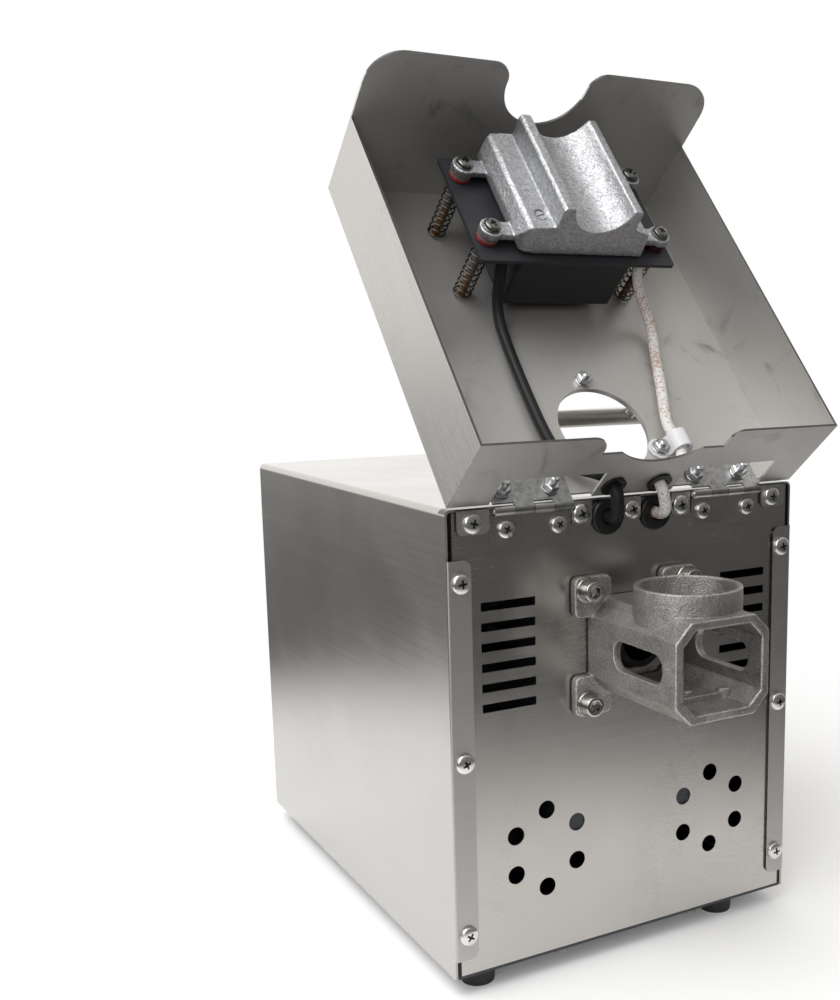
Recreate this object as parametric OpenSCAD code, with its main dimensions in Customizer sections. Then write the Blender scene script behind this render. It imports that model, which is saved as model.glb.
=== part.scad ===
// Electric screw oil press, body unit with the heater lid open.
// Box frame used inside the modules: X across (0 = middle), Y = 0 on the front
// panel's face and growing towards the rear, Z = 0 on the underside of the base.
// place() moves that frame so the origin is the middle of the footprint on the table.

/* [Casing] */
// Width of the casing
box_w = 200; // [196:1:204]
// Depth of the casing
box_d = 268; // [264:1:276]
// Height of the casing without its feet
box_h = 224; // [222:1:228]
// Thickness of the stainless sheet
sheet = 1.2; // [1.0:0.1:1.5]
// Outer bend radius of the cover's long edges
bend_r = 3; // [2:0.5:4]
// Height of the rubber feet
foot_h = 10; // [8:1:12]

/* [Lid] */
// How far the lid leans open from its closed place, in degrees
lid_open = 130.7; // [120:0.1:132]
// Length of the lid from its hinge wall to its far wall
lid_len = 199.5; // [196:0.5:201]
// Width of the lid
lid_w = 198; // [196:1:199]
// Height of the lid's side walls and hinge wall
lid_side_h = 45.5; // [44:0.5:47]
// Height of the lid's far wall
lid_far_h = 85; // [82:1:88]
// Radius of the hopper hole in the lid
hopper_hole_r = 25; // [24:0.5:25.5]

/* [Barrel seat] */
// Height of the barrel axis over the base
axis_z = 153.5; // [152:0.5:155]
// Length of the seat casting in front of the panel
seat_len = 71.5; // [69:0.5:73]
// Outside width of the seat casting
seat_w = 52; // [50:1:53]
// Outside height of the seat casting
seat_h = 46; // [44:1:47]
// Inner radius of the feed collar
collar_ri = 22.4; // [22:0.1:22.6]

/* [Heater] */
// Travel of the sprung heater block
heater_travel = 5; // [3:1:6]
// Radius of the barrel groove in the heater block
saddle_r = 17; // [16.5:0.25:17]

/* [Hidden] */
eps = 0.01;
t = sheet;
q = 48;                          // segments on a round
phi = 180 - lid_open;            // slope of the open lid panel over the table
hinge_y = -2.4;                  // hinge axis in front of the panel
hinge_z = 222;                   // hinge axis over the base
hinge_to_lid = 3.8;              // hinge axis to the lid's bend line
hinge_x = [-56.1, 55.6];         // middle of each hinge
leaf_u = 13.9; leaf_z = 8.6;     // screws of the lower leaves, from the hinge axis
bolt_x = [-70.6, -44.8, 38.2, 65.8]; hinge_bolt_v = 5.3; // bolts of the upper leaves
hinge_len = 41.6;
knuckle_r = 2.4;
pin_r = 1.1;
front_out = -(seat_len + 0);     // foremost point
rear_out = box_d + 4.2;          // rearmost point
right_out = box_w / 2 + 6.225;     // rightmost point, on the rocker switches
shift_x = -(right_out - box_w / 2) / 2;
shift_y = -(front_out + rear_out) / 2;
tabs = [[-94.7, -78.4, -87], [-34.9, -23.5, -30], [-5.4, 4.4, -1.1], [22.6, 34.0, 27.6], [79.2, 94.7, 85.8]];
tab_z = 217.3;
tab_low = 212;
flange_w = 12;
flange_lo = 9.5;
flange_hi = 201;
flange_screw_x = 93.3;
flange_screw_z = [21.8, 106.3, 190.5];
slot_x = 54.4; slot_w = 28.5; slot_h = 4.1; slot_top = 180.3; slot_pitch = 9.6;
ring_x = 49.4; ring_z = 55; ring_r = 19.7; ring_hole_r = 4.5;
grommet_x = [-14.5, 13.4]; grommet_z = 214.6; lead_bore = 3.9;
foot_at = [[-81.5, 14], [65, 14], [-81.5, 254], [65, 254]];
lug_x = 29; lug_z = 27.8; lug_t = 5;
collar_x = 0.9; collar_y = -43.9; collar_ro = 24.9; collar_top = 187;
hop_v = 38.3;                    // hopper hole's middle from the lid's bend
m1 = 1.25; z1 = 12; z2 = 48;     // motor stage
m2 = 1.5;  z3 = 12; z4 = 42;     // output stage
lay_z = axis_z - m2 * (z3 + z4) / 2;
motor_z = lay_z - m1 * (z1 + z2) / 2;
case_y0 = t; case_y1 = 46; cover_y1 = 54;
motor_y0 = 60; motor_y1 = 170; motor_r = 46;
fan_x = -38; fan_z = 150; fan_y = box_d - t - 25;
inlet_x = 52; inlet_z = 52;
ctl_y = 96; ctl_z = 166; ctl_l = 76; ctl_h = 36;
sw_y = [74, 118]; sw_z = 112;
heat_x = 1.5;                    // middle of the barrel groove
block_v0 = 116.3; block_v1 = 182.2;
bolt_u = 49; bolt_v = [126, 168.5];
plate_w = 37.3; plate_t = 2; lug_w = 43.3; lug_th = 4;
lid_gr_x = [-14.8, 11.6];
lid_gr_w = 8;
far_r = 18;                      // corner radius of the lid's far wall

// ---------- frames ----------
module place() translate([shift_x, shift_y, foot_h]) children();
module lid_place() place() translate([0, hinge_y, hinge_z]) rotate([phi, 0, 0])
  translate([0, hinge_to_lid, 0]) children();
// a cylinder along Y from y0 to y1
module ycyl(x, z, r, y0, y1) translate([x, y0, z]) rotate([-90, 0, 0]) cylinder(r = r, h = y1 - y0, $fn = q);
module xcyl(y, z, r, x0, x1) translate([x0, y, z]) rotate([0, 90, 0]) cylinder(r = r, h = x1 - x0, $fn = q);
module box(x0, y0, z0, x1, y1, z1) translate([x0, y0, z0]) cube([x1 - x0, y1 - y0, z1 - z0]);
// plate in the XZ plane with four rounded corners
module yplate(x0, x1, z0, z1, y0, y1, r) union() {
  box(x0 + r, y0, z0, x1 - r, y1, z1);
  box(x0, y0, z0 + r, x1, y1, z1 - r);
  for (x = [x0 + r, x1 - r], z = [z0 + r, z1 - r]) ycyl(x, z, r, y0, y1);
}
// plate in the XY plane with four rounded corners
module zplate(x0, x1, y0, y1, z0, z1, r) union() {
  box(x0 + r, y0, z0, x1 - r, y1, z1);
  box(x0, y0 + r, z0, x1, y1 - r, z1);
  for (x = [x0 + r, x1 - r], y = [y0 + r, y1 - r]) translate([x, y, z0]) cylinder(r = r, h = z1 - z0, $fn = q);
}
// pan-head screw whose head stands out along -Y from y = 0
module pan_screw(len = 8, hr = 4.75, hh = 2.6, sr = 2.5) union() {
  difference() {
    rotate([90, 0, 0]) rotate_extrude($fn = q)
      intersection() { translate([0, hh - 8.3]) circle(r = 8.3, $fn = 96); square([hr, hh + 1]); }
    for (a = [0, 90]) rotate([0, a, 0]) box(-2.4, -hh - 1, -0.5, 2.4, -hh + 1.3, 0.5);
  }
  ycyl(0, 0, sr, 0, len);
}
// hexagon nut with a washer, standing on z = 0
module nut_washer(nr = 4.04, nh = 3.2, wr = 4.6, wh = 0.9, hole = 2) difference() {
  union() {
    cylinder(r = wr, h = wh, $fn = q);
    translate([0, 0, wh]) cylinder(r = nr, h = nh, $fn = 6);
  }
  translate([0, 0, -1]) cylinder(r = hole, h = nh + wh + 2, $fn = q);
}
// tube swept along hand-set points, smoothed by a Catmull-Rom curve
function cr(a, b, c, d, s) = 0.5 * ((2 * b) + (c - a) * s + (2 * a - 5 * b + 4 * c - d) * s * s + (3 * b - a - 3 * c + d) * s * s * s);
function smooth_path(p, n) = [for (i = [0 : len(p) - 2]) for (k = [0 : n - 1])
    cr(p[max(i - 1, 0)], p[i], p[i + 1], p[min(i + 2, len(p) - 1)], k / n), p[len(p) - 1]];
function unit(v) = v / norm(v);
function tangent(p, i) = unit(p[min(i + 1, len(p) - 1)] - p[max(i - 1, 0)]);
function side_of(d) = unit(cross(d, abs(d[0]) < 0.8 ? [1, 0, 0] : [0, 0, 1]));
module sweep_tube(p, r, n = 8) {
  pts = [for (i = [0 : len(p) - 1]) let (d = tangent(p, i), a = side_of(d), b = cross(d, a))
      for (k = [0 : n - 1]) p[i] + r * (cos(360 * k / n) * a + sin(360 * k / n) * b)];
  m = len(p);
  polyhedron(points = pts, faces = concat(
    [[for (k = [0 : n - 1]) k]],
    [[for (k = [n - 1 : -1 : 0]) (m - 1) * n + k]],
    [for (i = [0 : m - 2]) for (k = [0 : n - 1]) [i * n + k, (i + 1) * n + k, (i + 1) * n + (k + 1) % n]],
    [for (i = [0 : m - 2]) for (k = [0 : n - 1]) [i * n + k, (i + 1) * n + (k + 1) % n, i * n + (k + 1) % n]]));
}
// spur gear outline: straight-sided teeth with running clearance
function gear_pts(m, z) = let (rp = m * z / 2, ro = rp + 0.85 * m, rr = rp - 1.2 * m, s = 360 / z)
  [for (i = [0 : z - 1]) for (c = [[rr, -0.34], [rp, -0.215], [ro, -0.11], [ro, 0.11], [rp, 0.215], [rr, 0.34]])
    c[0] * [cos((i + c[1]) * s), sin((i + c[1]) * s)]];
module gear_y(m, z, y0, y1, bore, turn = 0) difference() {
  translate([0, y1, 0]) rotate([90, 0, 0]) rotate([0, 0, turn]) linear_extrude(y1 - y0) polygon(gear_pts(m, z));
  ycyl(0, 0, bore, y0 - 1, y1 + 1);
}

// ---------- casing ----------
// side flange, tabs and bends of the cover at one end, drawn at the front
module cover_edge() {
  w = box_w / 2;
  difference() {
    union() {
      for (s = [-1, 1]) mirror([s < 0 ? 1 : 0, 0, 0]) {
        box(w - flange_w + 4, -t, flange_lo, w - t, 0, flange_hi);
        box(w - flange_w, -t, flange_lo + 4, w - flange_w + 4 + eps, 0, flange_hi - 4);
        ycyl(w - flange_w + 4, flange_lo + 4, 4, -t, 0);
        ycyl(w - flange_w + 4, flange_hi - 4, 4, -t, 0);
        intersection() {
          translate([w - t, 0, flange_lo]) cylinder(r = t, h = flange_hi - flange_lo, $fn = q);
          box(w - t - eps, -t - 1, flange_lo - 1, w + 1, eps, flange_hi + 1);
        }
      }
      for (k = tabs) {
        box(k[0], -t, tab_low + 3, k[1], 0, box_h - t);
        box(k[0] + 3, -t, tab_low, k[1] - 3, 0, tab_low + 3 + eps);
        for (x = [k[0] + 3, k[1] - 3]) ycyl(x, tab_low + 3, 3, -t, 0);
        intersection() {
          xcyl(0, box_h - t, t, k[0], k[1]);
          box(k[0] - 1, -t - 1, box_h - t - eps, k[1] + 1, eps, box_h + 1);
        }
      }
    }
    for (s = [-1, 1], z = flange_screw_z) ycyl(s * flange_screw_x, z, 2.5, -5, 5);
    for (k = tabs) ycyl(k[2], tab_z, 2.5, -5, 5);
  }
}
module cover_shell() color([0.78, 0.77, 0.75]) place() difference() {
  union() {
    difference() {
      union() {
        box(-box_w / 2, 0, 0, box_w / 2, box_d, box_h - bend_r);
        box(-box_w / 2 + bend_r, 0, 0, box_w / 2 - bend_r, box_d, box_h);
        for (s = [-1, 1]) ycyl(s * (box_w / 2 - bend_r), box_h - bend_r, bend_r, 0, box_d);
      }
      box(-box_w / 2 + t, -1, -1, box_w / 2 - t, box_d + 1, box_h - bend_r);
      box(-box_w / 2 + bend_r, -1, -1, box_w / 2 - bend_r, box_d + 1, box_h - t);
      for (s = [-1, 1]) ycyl(s * (box_w / 2 - bend_r), box_h - bend_r, bend_r - t, -1, box_d + 1);
    }
    cover_edge();
    translate([0, box_d, 0]) mirror([0, 1, 0]) cover_edge();
  }
  // cut-outs for the controller and the two switches in the right side
  box(box_w / 2 - 5, ctl_y - ctl_l / 2 + 2, ctl_z - ctl_h / 2 + 2, box_w / 2 + 5, ctl_y + ctl_l / 2 - 2, ctl_z + ctl_h / 2 - 2);
  for (y = sw_y) box(box_w / 2 - 5, y - 11.2, sw_z - 14.2, box_w / 2 + 5, y + 11.2, sw_z + 14.2);
}
module panel_blank() {
  w = box_w / 2 - t - 0.5;
  box(-w, 0, t + 0.3, w, t, box_h - t - 0.5);
  box(-w, 0, t + 0.3, w, 9, 2 * t + 0.3);
  box(-w + 4, 0, box_h - 2 * t - 0.5, w - 4, 10, box_h - t - 0.5);
}
module panel_screw_holes() {
  for (s = [-1, 1], z = flange_screw_z) ycyl(s * flange_screw_x, z, 2.5, -5, 5);
  for (k = tabs) ycyl(k[2], tab_z, 2.5, -5, 5);
  for (x = [-40, 40]) translate([x, 5, -5]) cylinder(r = 2, h = 12, $fn = q);
}
module front_panel() color([0.62, 0.60, 0.57]) place() difference() {
  panel_blank();
  panel_screw_holes();
  for (i = [0 : 5], s = [-1, 1])
    box(s > 0 ? slot_x : -slot_x - slot_w, -5, slot_top - i * slot_pitch - slot_h,
        s > 0 ? slot_x + slot_w : -slot_x, 5, slot_top - i * slot_pitch);
  for (s = [-1, 1], a = [30 : 60 : 330]) ycyl(s * ring_x + ring_r * cos(a), ring_z + ring_r * sin(a), ring_hole_r, -5, 5);
  ycyl(0, axis_z, 15.8, -5, 5);
  for (x = [-lug_x, lug_x], z = [-lug_z, lug_z]) ycyl(x, axis_z + z, 3.3, -5, 5);
  for (x = grommet_x) ycyl(x, grommet_z, 6.5, -5, 5);
  for (h = hinge_x, s = [-1, 1]) ycyl(h + s * leaf_u, hinge_z - leaf_z, 2, -5, 5);
}
module rear_panel() color([0.62, 0.60, 0.57]) place() difference() {
  translate([0, box_d, 0]) mirror([0, 1, 0]) panel_blank();
  translate([0, box_d, 0]) mirror([0, 1, 0]) panel_screw_holes();
  // fan grille: three rings of round holes
  for (k = [0 : 2], i = [0 : 5 + 6 * k])
    ycyl(fan_x + (10 + 11 * k) * cos(i * 360 / (6 + 6 * k)), fan_z + (10 + 11 * k) * sin(i * 360 / (6 + 6 * k)), 3.4, box_d - 5, box_d + 5);
  ycyl(fan_x, fan_z, 3.4, box_d - 5, box_d + 5);
  for (x = [-35.75, 35.75], z = [-35.75, 35.75]) ycyl(fan_x + x, fan_z + z, 2.2, box_d - 5, box_d + 5);
  box(inlet_x - 14, box_d - 5, inlet_z - 10.5, inlet_x + 14, box_d + 5, inlet_z + 10.5);
  for (s = [-1, 1]) ycyl(inlet_x + 20 * s, inlet_z, 1.6, box_d - 5, box_d + 5);
}
module base_plate() color([0.6, 0.6, 0.6]) place() difference() {
  box(-box_w / 2 + t + 0.5, 0, 0, box_w / 2 - t - 0.5, box_d, t + 0.3);
  for (p = foot_at) translate([p[0], p[1], -5]) cylinder(r = 2, h = 12, $fn = q);
  for (x = [-40, 40], y = [5, box_d - 5]) translate([x, y, -5]) cylinder(r = 2, h = 12, $fn = q);
  for (x = [-28, 28], y = [98, 142]) translate([x, y, -5]) cylinder(r = 2.5, h = 12, $fn = q);
  for (x = [-36, 0, 36]) zplate(x - 12, x + 12, 28, 34, -5, 5, 2.9);
}
module rubber_feet() color([0.05, 0.05, 0.05]) place() for (p = foot_at) translate([p[0], p[1], 0]) difference() {
  translate([0, 0, -foot_h]) cylinder(r1 = 8.2, r2 = 9.2, h = foot_h, $fn = q);
  translate([0, 0, -foot_h - 1]) cylinder(r = 4.4, h = 5, $fn = q);
  translate([0, 0, -foot_h - 1]) cylinder(r = 2, h = foot_h + 2, $fn = q);
}
module cover_screws() color([0.85, 0.85, 0.85]) place() {
  for (s = [-1, 1], z = flange_screw_z) {
    translate([s * flange_screw_x, -t, z]) pan_screw();
    translate([s * flange_screw_x, box_d + t, z]) mirror([0, 1, 0]) pan_screw();
  }
  for (k = tabs) {
    translate([k[2], -t, tab_z]) pan_screw();
    translate([k[2], box_d + t, tab_z]) mirror([0, 1, 0]) pan_screw();
  }
}
module chassis_screws() color([0.8, 0.8, 0.8]) place() {
  for (p = foot_at) translate([p[0], p[1], 0]) {
    union() {
      translate([0, 0, -foot_h + 1.6]) cylinder(r = 3.9, h = 2.4, $fn = q);
      translate([0, 0, -foot_h + 3.9]) cylinder(r = 2, h = foot_h + 2.6, $fn = q);
    }
    translate([0, 0, t + 0.3]) nut_washer(hole = 2);
  }
  for (x = [-40, 40], y = [5, box_d - 5]) translate([x, y, 0]) rotate([-90, 0, 0]) union() {
    ycyl(0, 0, 3.9, 0, 2.4);
    ycyl(0, 0, 2, -2 * t - 2, 0.1);
  }
  for (x = [-28, 28], y = [98, 142]) translate([x, y, 0]) rotate([-90, 0, 0]) union() {
    ycyl(0, 0, 4.75, 0, 2.6);
    ycyl(0, 0, 2.5, -9, 0.1);
  }
  for (x = [-35.75, 35.75], z = [-35.75, 35.75]) translate([fan_x + x, box_d, fan_z + z]) mirror([0, 1, 0]) pan_screw(len = 10, hr = 3.9, hh = 2.2, sr = 2.1);
  for (s = [-1, 1]) translate([inlet_x + 20 * s, box_d + 3, inlet_z]) mirror([0, 1, 0]) pan_screw(len = 8, hr = 2.8, hh = 1.2, sr = 1.5);
}

// ---------- hinges ----------
// kn is [first knuckle, ...] with four knuckles per hinge counted from the left
module knuckles(kn, bore) for (k = kn) difference() {
  xcyl(0, 0, knuckle_r, -hinge_len / 2 + k * hinge_len / 4 + 0.12, -hinge_len / 2 + (k + 1) * hinge_len / 4 - 0.12);
  xcyl(0, 0, bore, -hinge_len, hinge_len);
}
module hinge_lower_leaves() color([0.6, 0.58, 0.55]) place() for (h = hinge_x) translate([h, hinge_y, hinge_z]) union() {
  knuckles([0, 2], pin_r);
  difference() {
    box(-hinge_len / 2, knuckle_r - t, -15.6, hinge_len / 2, knuckle_r, 0);
    for (k = [1, 3]) box(-hinge_len / 2 + k * hinge_len / 4 - 0.12, 0, -2.7, -hinge_len / 2 + (k + 1) * hinge_len / 4 + 0.12, 5, 3);
    xcyl(0, 0, pin_r, -hinge_len, hinge_len);
    for (s = [-1, 1]) ycyl(s * leaf_u, -leaf_z, 2, -5, 5);
  }
}
module hinge_pins() color([0.75, 0.75, 0.75]) place() for (h = hinge_x)
  xcyl(hinge_y, hinge_z, pin_r, h - hinge_len / 2 - 0.4, h + hinge_len / 2 + 0.4);
module hinge_leaf_screws() color([0.85, 0.85, 0.85]) place() for (h = hinge_x, s = [-1, 1])
  translate([h + s * leaf_u, -t, hinge_z - leaf_z]) pan_screw(len = 6, hr = 4.3, hh = 2.3, sr = 2);
module panel_grommets() color([0.04, 0.04, 0.04]) place() for (x = grommet_x) translate([x, 0, grommet_z]) difference() {
  union() {
    rotate([90, 0, 0]) rotate_extrude($fn = q) union() {
      square([7.6, 2.2]);
      translate([7.6, 1.1]) circle(r = 1.1, $fn = 24);
    }
    ycyl(0, 0, 6.5, 0, t);
    ycyl(0, 0, 8.2, t, t + 1.8);
  }
  // the inner flange is trimmed under the panel's folded top edge
  box(-9, t - 0.3, 6.3, 9, t + 3, 10);
  ycyl(0, 0, lead_bore, -6, 6);
}

// ---------- barrel seat ----------
module oct_prism(w, h, c, y0, y1) translate([0, y1, axis_z]) rotate([90, 0, 0]) linear_extrude(y1 - y0)
  polygon([[-w / 2 + c, -h / 2], [w / 2 - c, -h / 2], [w / 2, -h / 2 + c], [w / 2, h / 2 - c],
           [w / 2 - c, h / 2], [-w / 2 + c, h / 2], [-w / 2, h / 2 - c], [-w / 2, -h / 2 + c]]);
module seat_lug(sx, sz) translate([sx * lug_x, 0, axis_z + sz * lug_z]) union() {
  // square ear with round corners, running back into the tube's cut corner
  yplate(sx > 0 ? -14 : -6.4, sx > 0 ? 6.4 : 14, sz > 0 ? -13.5 : -6.2, sz > 0 ? 6.2 : 13.5, -lug_t, 0, 3.4);
}
module feed_casting() color([0.55, 0.55, 0.55]) place() difference() {
  union() {
    oct_prism(seat_w, seat_h, 8.3, -seat_len, -eps);
    for (sx = [-1, 1], sz = [-1, 1]) seat_lug(sx, sz);
    translate([collar_x, collar_y, 167]) cylinder(r = collar_ro, h = collar_top - 167, $fn = 96);
  }
  difference() {
    oct_prism(seat_w - 8.4, seat_h - 7.6, 6.8, -seat_len - 1, 1);
    // low rib across the floor and the small boss beside it
    box(-seat_w, -55.4, axis_z - seat_h / 2, 14.6, -51.2, axis_z - seat_h / 2 + 7);
    translate([14.6, -53.2, axis_z - seat_h / 2]) cylinder(r = 3.3, h = 8.6, $fn = q);
    translate([1.5, -43.5, axis_z - seat_h / 2]) cylinder(r = 2.1, h = 6.2, $fn = q);
  }
  // feed opening: the collar's bore, then a narrower throat through the tube's top
  translate([collar_x, collar_y, 172]) cylinder(r = collar_ri, h = 50, $fn = 96);
  translate([collar_x, collar_y, axis_z]) cylinder(r = seat_w / 2 - 5.4, h = 50, $fn = 96);
  // side windows
  for (s = [-1, 1]) translate([s * seat_w / 2, 0, 0]) union() {
    box(-6, -55.2, axis_z - 6.8, 6, -29, axis_z + 7.1);
    box(-6, -61.2, axis_z - 0.8, 6, -23, axis_z + 1.1);
    for (y = [-55.2, -29], z = [-0.8, 1.1]) xcyl(y, axis_z + z, 6, -6, 6);
  }
  for (sx = [-1, 1], sz = [-1, 1]) ycyl(sx * lug_x, axis_z + sz * lug_z, 3.3, -10, 5);
}
module casting_bolts() color([0.8, 0.79, 0.76]) place() for (sx = [-1, 1], sz = [-1, 1])
  translate([sx * lug_x, 0, axis_z + sz * lug_z]) union() {
    difference() {
      union() {
        ycyl(0, 0, 5, -lug_t - 1.6 - 5.6, -lug_t - 1.6);
        translate([0, -lug_t - 1.6 - 5.6, 0]) rotate([90, 0, 0]) cylinder(r1 = 5, r2 = 4.6, h = 0.4, $fn = q);
      }
      translate([0, -lug_t - 1.6 - 2.8, 0]) rotate([90, 0, 0]) cylinder(r = 2.9, h = 8, $fn = 6);
    }
    ycyl(0, 0, 3, -lug_t - 1.6, t + 9);
  }
module casting_washers() color([0.75, 0.74, 0.7]) place() for (sx = [-1, 1], sz = [-1, 1])
  translate([sx * lug_x, 0, axis_z + sz * lug_z]) difference() {
    ycyl(0, 0, 6.2, -lug_t - 1.6, -lug_t);
    ycyl(0, 0, 3.05, -12, 2);
  }

// ---------- gearbox ----------
module case_outline(o, y0, y1) yplate(-42 + o, 42 - o, 56 + o, 196 - o, y0, y1, 8);
case_screw = [[-36, 64], [36, 64], [-36, 188], [36, 188], [-37, 126], [37, 126]];
module gearbox_case() color([0.5, 0.51, 0.52]) place() difference() {
  union() {
    difference() {
      case_outline(0, case_y0, case_y1);
      difference() {
        case_outline(6, case_y0 + 11, case_y1 + 1);
        for (p = case_screw) ycyl(p[0], p[1], 5.4, 0, case_y1 + 2);
      }
    }
    ycyl(0, axis_z, 22, case_y0 + 2, 19);
    ycyl(0, lay_z, 9, case_y0 + 2, 17);
  }
  ycyl(0, axis_z, 19, -5, 30);
  ycyl(0, lay_z, 7, 8, 30);
  for (x = [-lug_x, lug_x], z = [-lug_z, lug_z]) ycyl(x, axis_z + z, 3, -5, t + 9);
  for (p = case_screw) ycyl(p[0], p[1], 2, case_y1 - 12, case_y1 + 2);
}
module gearbox_cover() color([0.55, 0.56, 0.57]) place() difference() {
  union() {
    case_outline(0, case_y1, cover_y1);
    ycyl(0, axis_z, 14, cover_y1 - 1, cover_y1 + 5);
  }
  ycyl(0, axis_z, 11, case_y1 - 1, cover_y1 + 1);
  ycyl(0, lay_z, 7, case_y1 - 1, cover_y1 - 2);
  ycyl(0, motor_z, 10, case_y1 - 1, cover_y1 + 1);
  for (p = case_screw) ycyl(p[0], p[1], 2, case_y1 - 1, cover_y1 + 6);
}
module gearbox_screws() color([0.3, 0.3, 0.3]) place() for (p = case_screw) translate([p[0], 0, p[1]]) union() {
  difference() {
    ycyl(0, 0, 3.5, cover_y1, cover_y1 + 4);
    translate([0, cover_y1 + 2, 0]) rotate([-90, 0, 0]) cylinder(r = 1.7, h = 5, $fn = 6);
  }
  ycyl(0, 0, 2, case_y1 - 10, cover_y1 + eps);
}
// bronze bushes of the output hub, the lay shaft and the motor shaft
module shaft_bushes() color([0.72, 0.53, 0.25]) place() {
  difference() { ycyl(0, axis_z, 19, case_y0 + 0.2, 19); ycyl(0, axis_z, 15.05, -5, 30); }
  difference() { ycyl(0, axis_z, 11, case_y1 + 0.5, cover_y1); ycyl(0, axis_z, 8.05, 30, 70); }
  difference() { ycyl(0, lay_z, 7, 8, 17); ycyl(0, lay_z, 5.04, 0, 30); }
  difference() { ycyl(0, lay_z, 7, case_y1 + 0.5, cover_y1 - 2); ycyl(0, lay_z, 5.04, 30, 70); }
  difference() { ycyl(0, motor_z, 9, cover_y1 + 1, motor_y0 - 0.5); ycyl(0, motor_z, 5.04, 30, 70); }
  difference() { ycyl(0, motor_z, 9, motor_y1 + 0.5, motor_y1 + 7.5); ycyl(0, motor_z, 5.04, 150, 190); }
}
module output_hub() color([0.32, 0.32, 0.33]) place() translate([0, 0, axis_z]) difference() {
  union() {
    ycyl(0, 0, 13.2, -8, 0.5);
    ycyl(0, 0, 15, -0.6, 20);
    ycyl(0, 0, 13, 20, 34.5);
    ycyl(0, 0, 8, 34.5, cover_y1 - 0.5);
  }
  ycyl(0, 0, 10.05, -9, 22);
  // three grooves turned inside the socket and one keyway
  for (y = [-5, 1, 7]) difference() { ycyl(0, 0, 11.2, y, y + 1.8); ycyl(0, 0, 10, y - 1, y + 3); }
  box(-2, -9, 0, 2, 16, 12.2);
}
module output_gear() color([0.4, 0.4, 0.42]) place() translate([0, 0, axis_z]) gear_y(m2, z4, 21.5, 33.5, 13, turn = 0);
module lay_shaft() color([0.6, 0.6, 0.62]) place() ycyl(0, lay_z, 5, 9, cover_y1 - 3);
module lay_gears() color([0.45, 0.45, 0.47]) place() translate([0, 0, lay_z]) union() {
  gear_y(m2, z3, 20.5, 35.2, 5, turn = 0);
  gear_y(m1, z2, 35, 41, 5, turn = 360 / z2 / 2);
}
module motor_pinion() color([0.5, 0.5, 0.52]) place() translate([0, 0, motor_z]) gear_y(m1, z1, 34.5, 42, 4, turn = 0);

// ---------- motor ----------
module motor_shaft() color([0.65, 0.65, 0.67]) place() union() {
  ycyl(0, motor_z, 4, 34, 48);
  ycyl(0, motor_z, 5, 48, motor_y1 + 7);
}
module rotor_core() color([0.35, 0.33, 0.32]) place() difference() {
  ycyl(0, motor_z, 27.4, 78, 152);
  ycyl(0, motor_z, 5, 60, 170);
  for (a = [0 : 30 : 330]) ycyl(20 * cos(a), motor_z + 20 * sin(a), 2.4, 60, 170);
}
module stator() color([0.6, 0.35, 0.2]) place() difference() {
  ycyl(0, motor_z, 43, 72, 158);
  ycyl(0, motor_z, 28, 60, 170);
}
module motor_can() color([0.22, 0.23, 0.25]) place() difference() {
  ycyl(0, motor_z, motor_r, motor_y0, motor_y1);
  ycyl(0, motor_z, 43, motor_y0 - 1, motor_y1 + 1);
}
module motor_front_bell() color([0.55, 0.55, 0.56]) place() difference() {
  union() {
    ycyl(0, motor_z, motor_r, cover_y1 + 2, motor_y0);
    ycyl(0, motor_z, 18, cover_y1, motor_y0);
  }
  ycyl(0, motor_z, 9, cover_y1 - 3, motor_y0 + 1);
  for (p = case_screw) ycyl(p[0], p[1], 4.2, cover_y1 - 3, motor_y0 + 1);
}
module motor_end_bell() color([0.55, 0.55, 0.56]) place() difference() {
  ycyl(0, motor_z, motor_r, motor_y1, motor_y1 + 8);
  ycyl(0, motor_z, 9, motor_y1 - 1, motor_y1 + 9);
  for (a = [0 : 45 : 315]) ycyl(30 * cos(a), motor_z + 30 * sin(a), 5, motor_y1 - 1, motor_y1 + 9);
}
module motor_cradle() color([0.4, 0.42, 0.45]) place() difference() {
  union() {
    box(-38, 90, t + 0.3, 38, 150, 8);
    for (y = [92, 142]) box(-32, y, 7.9, 32, y + 6, 56);
  }
  ycyl(0, motor_z, motor_r, 80, 160);
  for (x = [-28, 28], y = [98, 142]) translate([x, y, -5]) cylinder(r = 2.5, h = 14, $fn = q);
}

// ---------- fan, inlet and electronics ----------
module fan_frame() color([0.08, 0.08, 0.09]) place() translate([fan_x, fan_y, fan_z]) difference() {
  union() {
    difference() {
      yplate(-40, 40, -40, 40, 0, 25 - eps, 4);
      ycyl(0, 0, 38, -1, 30);
    }
    ycyl(0, 0, 17, 0.1, 3);
    for (a = [45 : 90 : 315]) rotate([0, a, 0]) box(10, 0.3, -1.5, 41, 2.7, 1.5);
    ycyl(0, 0, 2, 0.5, 20);
  }
  for (x = [-35.75, 35.75], z = [-35.75, 35.75]) ycyl(x, z, 2.1, -1, 30);
}
module fan_impeller() color([0.1, 0.1, 0.11]) place() translate([fan_x, fan_y, fan_z]) difference() {
  union() {
    ycyl(0, 0, 18, 4, 22);
    for (a = [0 : 360 / 7 : 359]) rotate([0, a, 0]) translate([0, 13, 0]) rotate([38, 0, 0]) box(12, -8.5, -0.8, 35.5, 8.5, 0.8);
  }
  ycyl(0, 0, 2.05, 2, 20.5);
}
module power_inlet() color([0.06, 0.06, 0.06]) place() translate([inlet_x, box_d, inlet_z]) union() {
  difference() {
    union() {
      yplate(-25, 25, -12, 12, 0, 3, 4);
      box(-13.8, -22, -10.3, 13.8, 0.5, 10.3);
    }
    box(-12, -17, -8.2, 12, 4, 8.2);
    for (s = [-1, 1]) ycyl(20 * s, 0, 1.5, -2, 5);
  }
  for (p = [[-7, -2], [0, 2.5], [7, -2]]) box(p[0] - 1, -17.5, p[1] - 2, p[0] + 1, -7, p[1] + 2);
}
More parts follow.
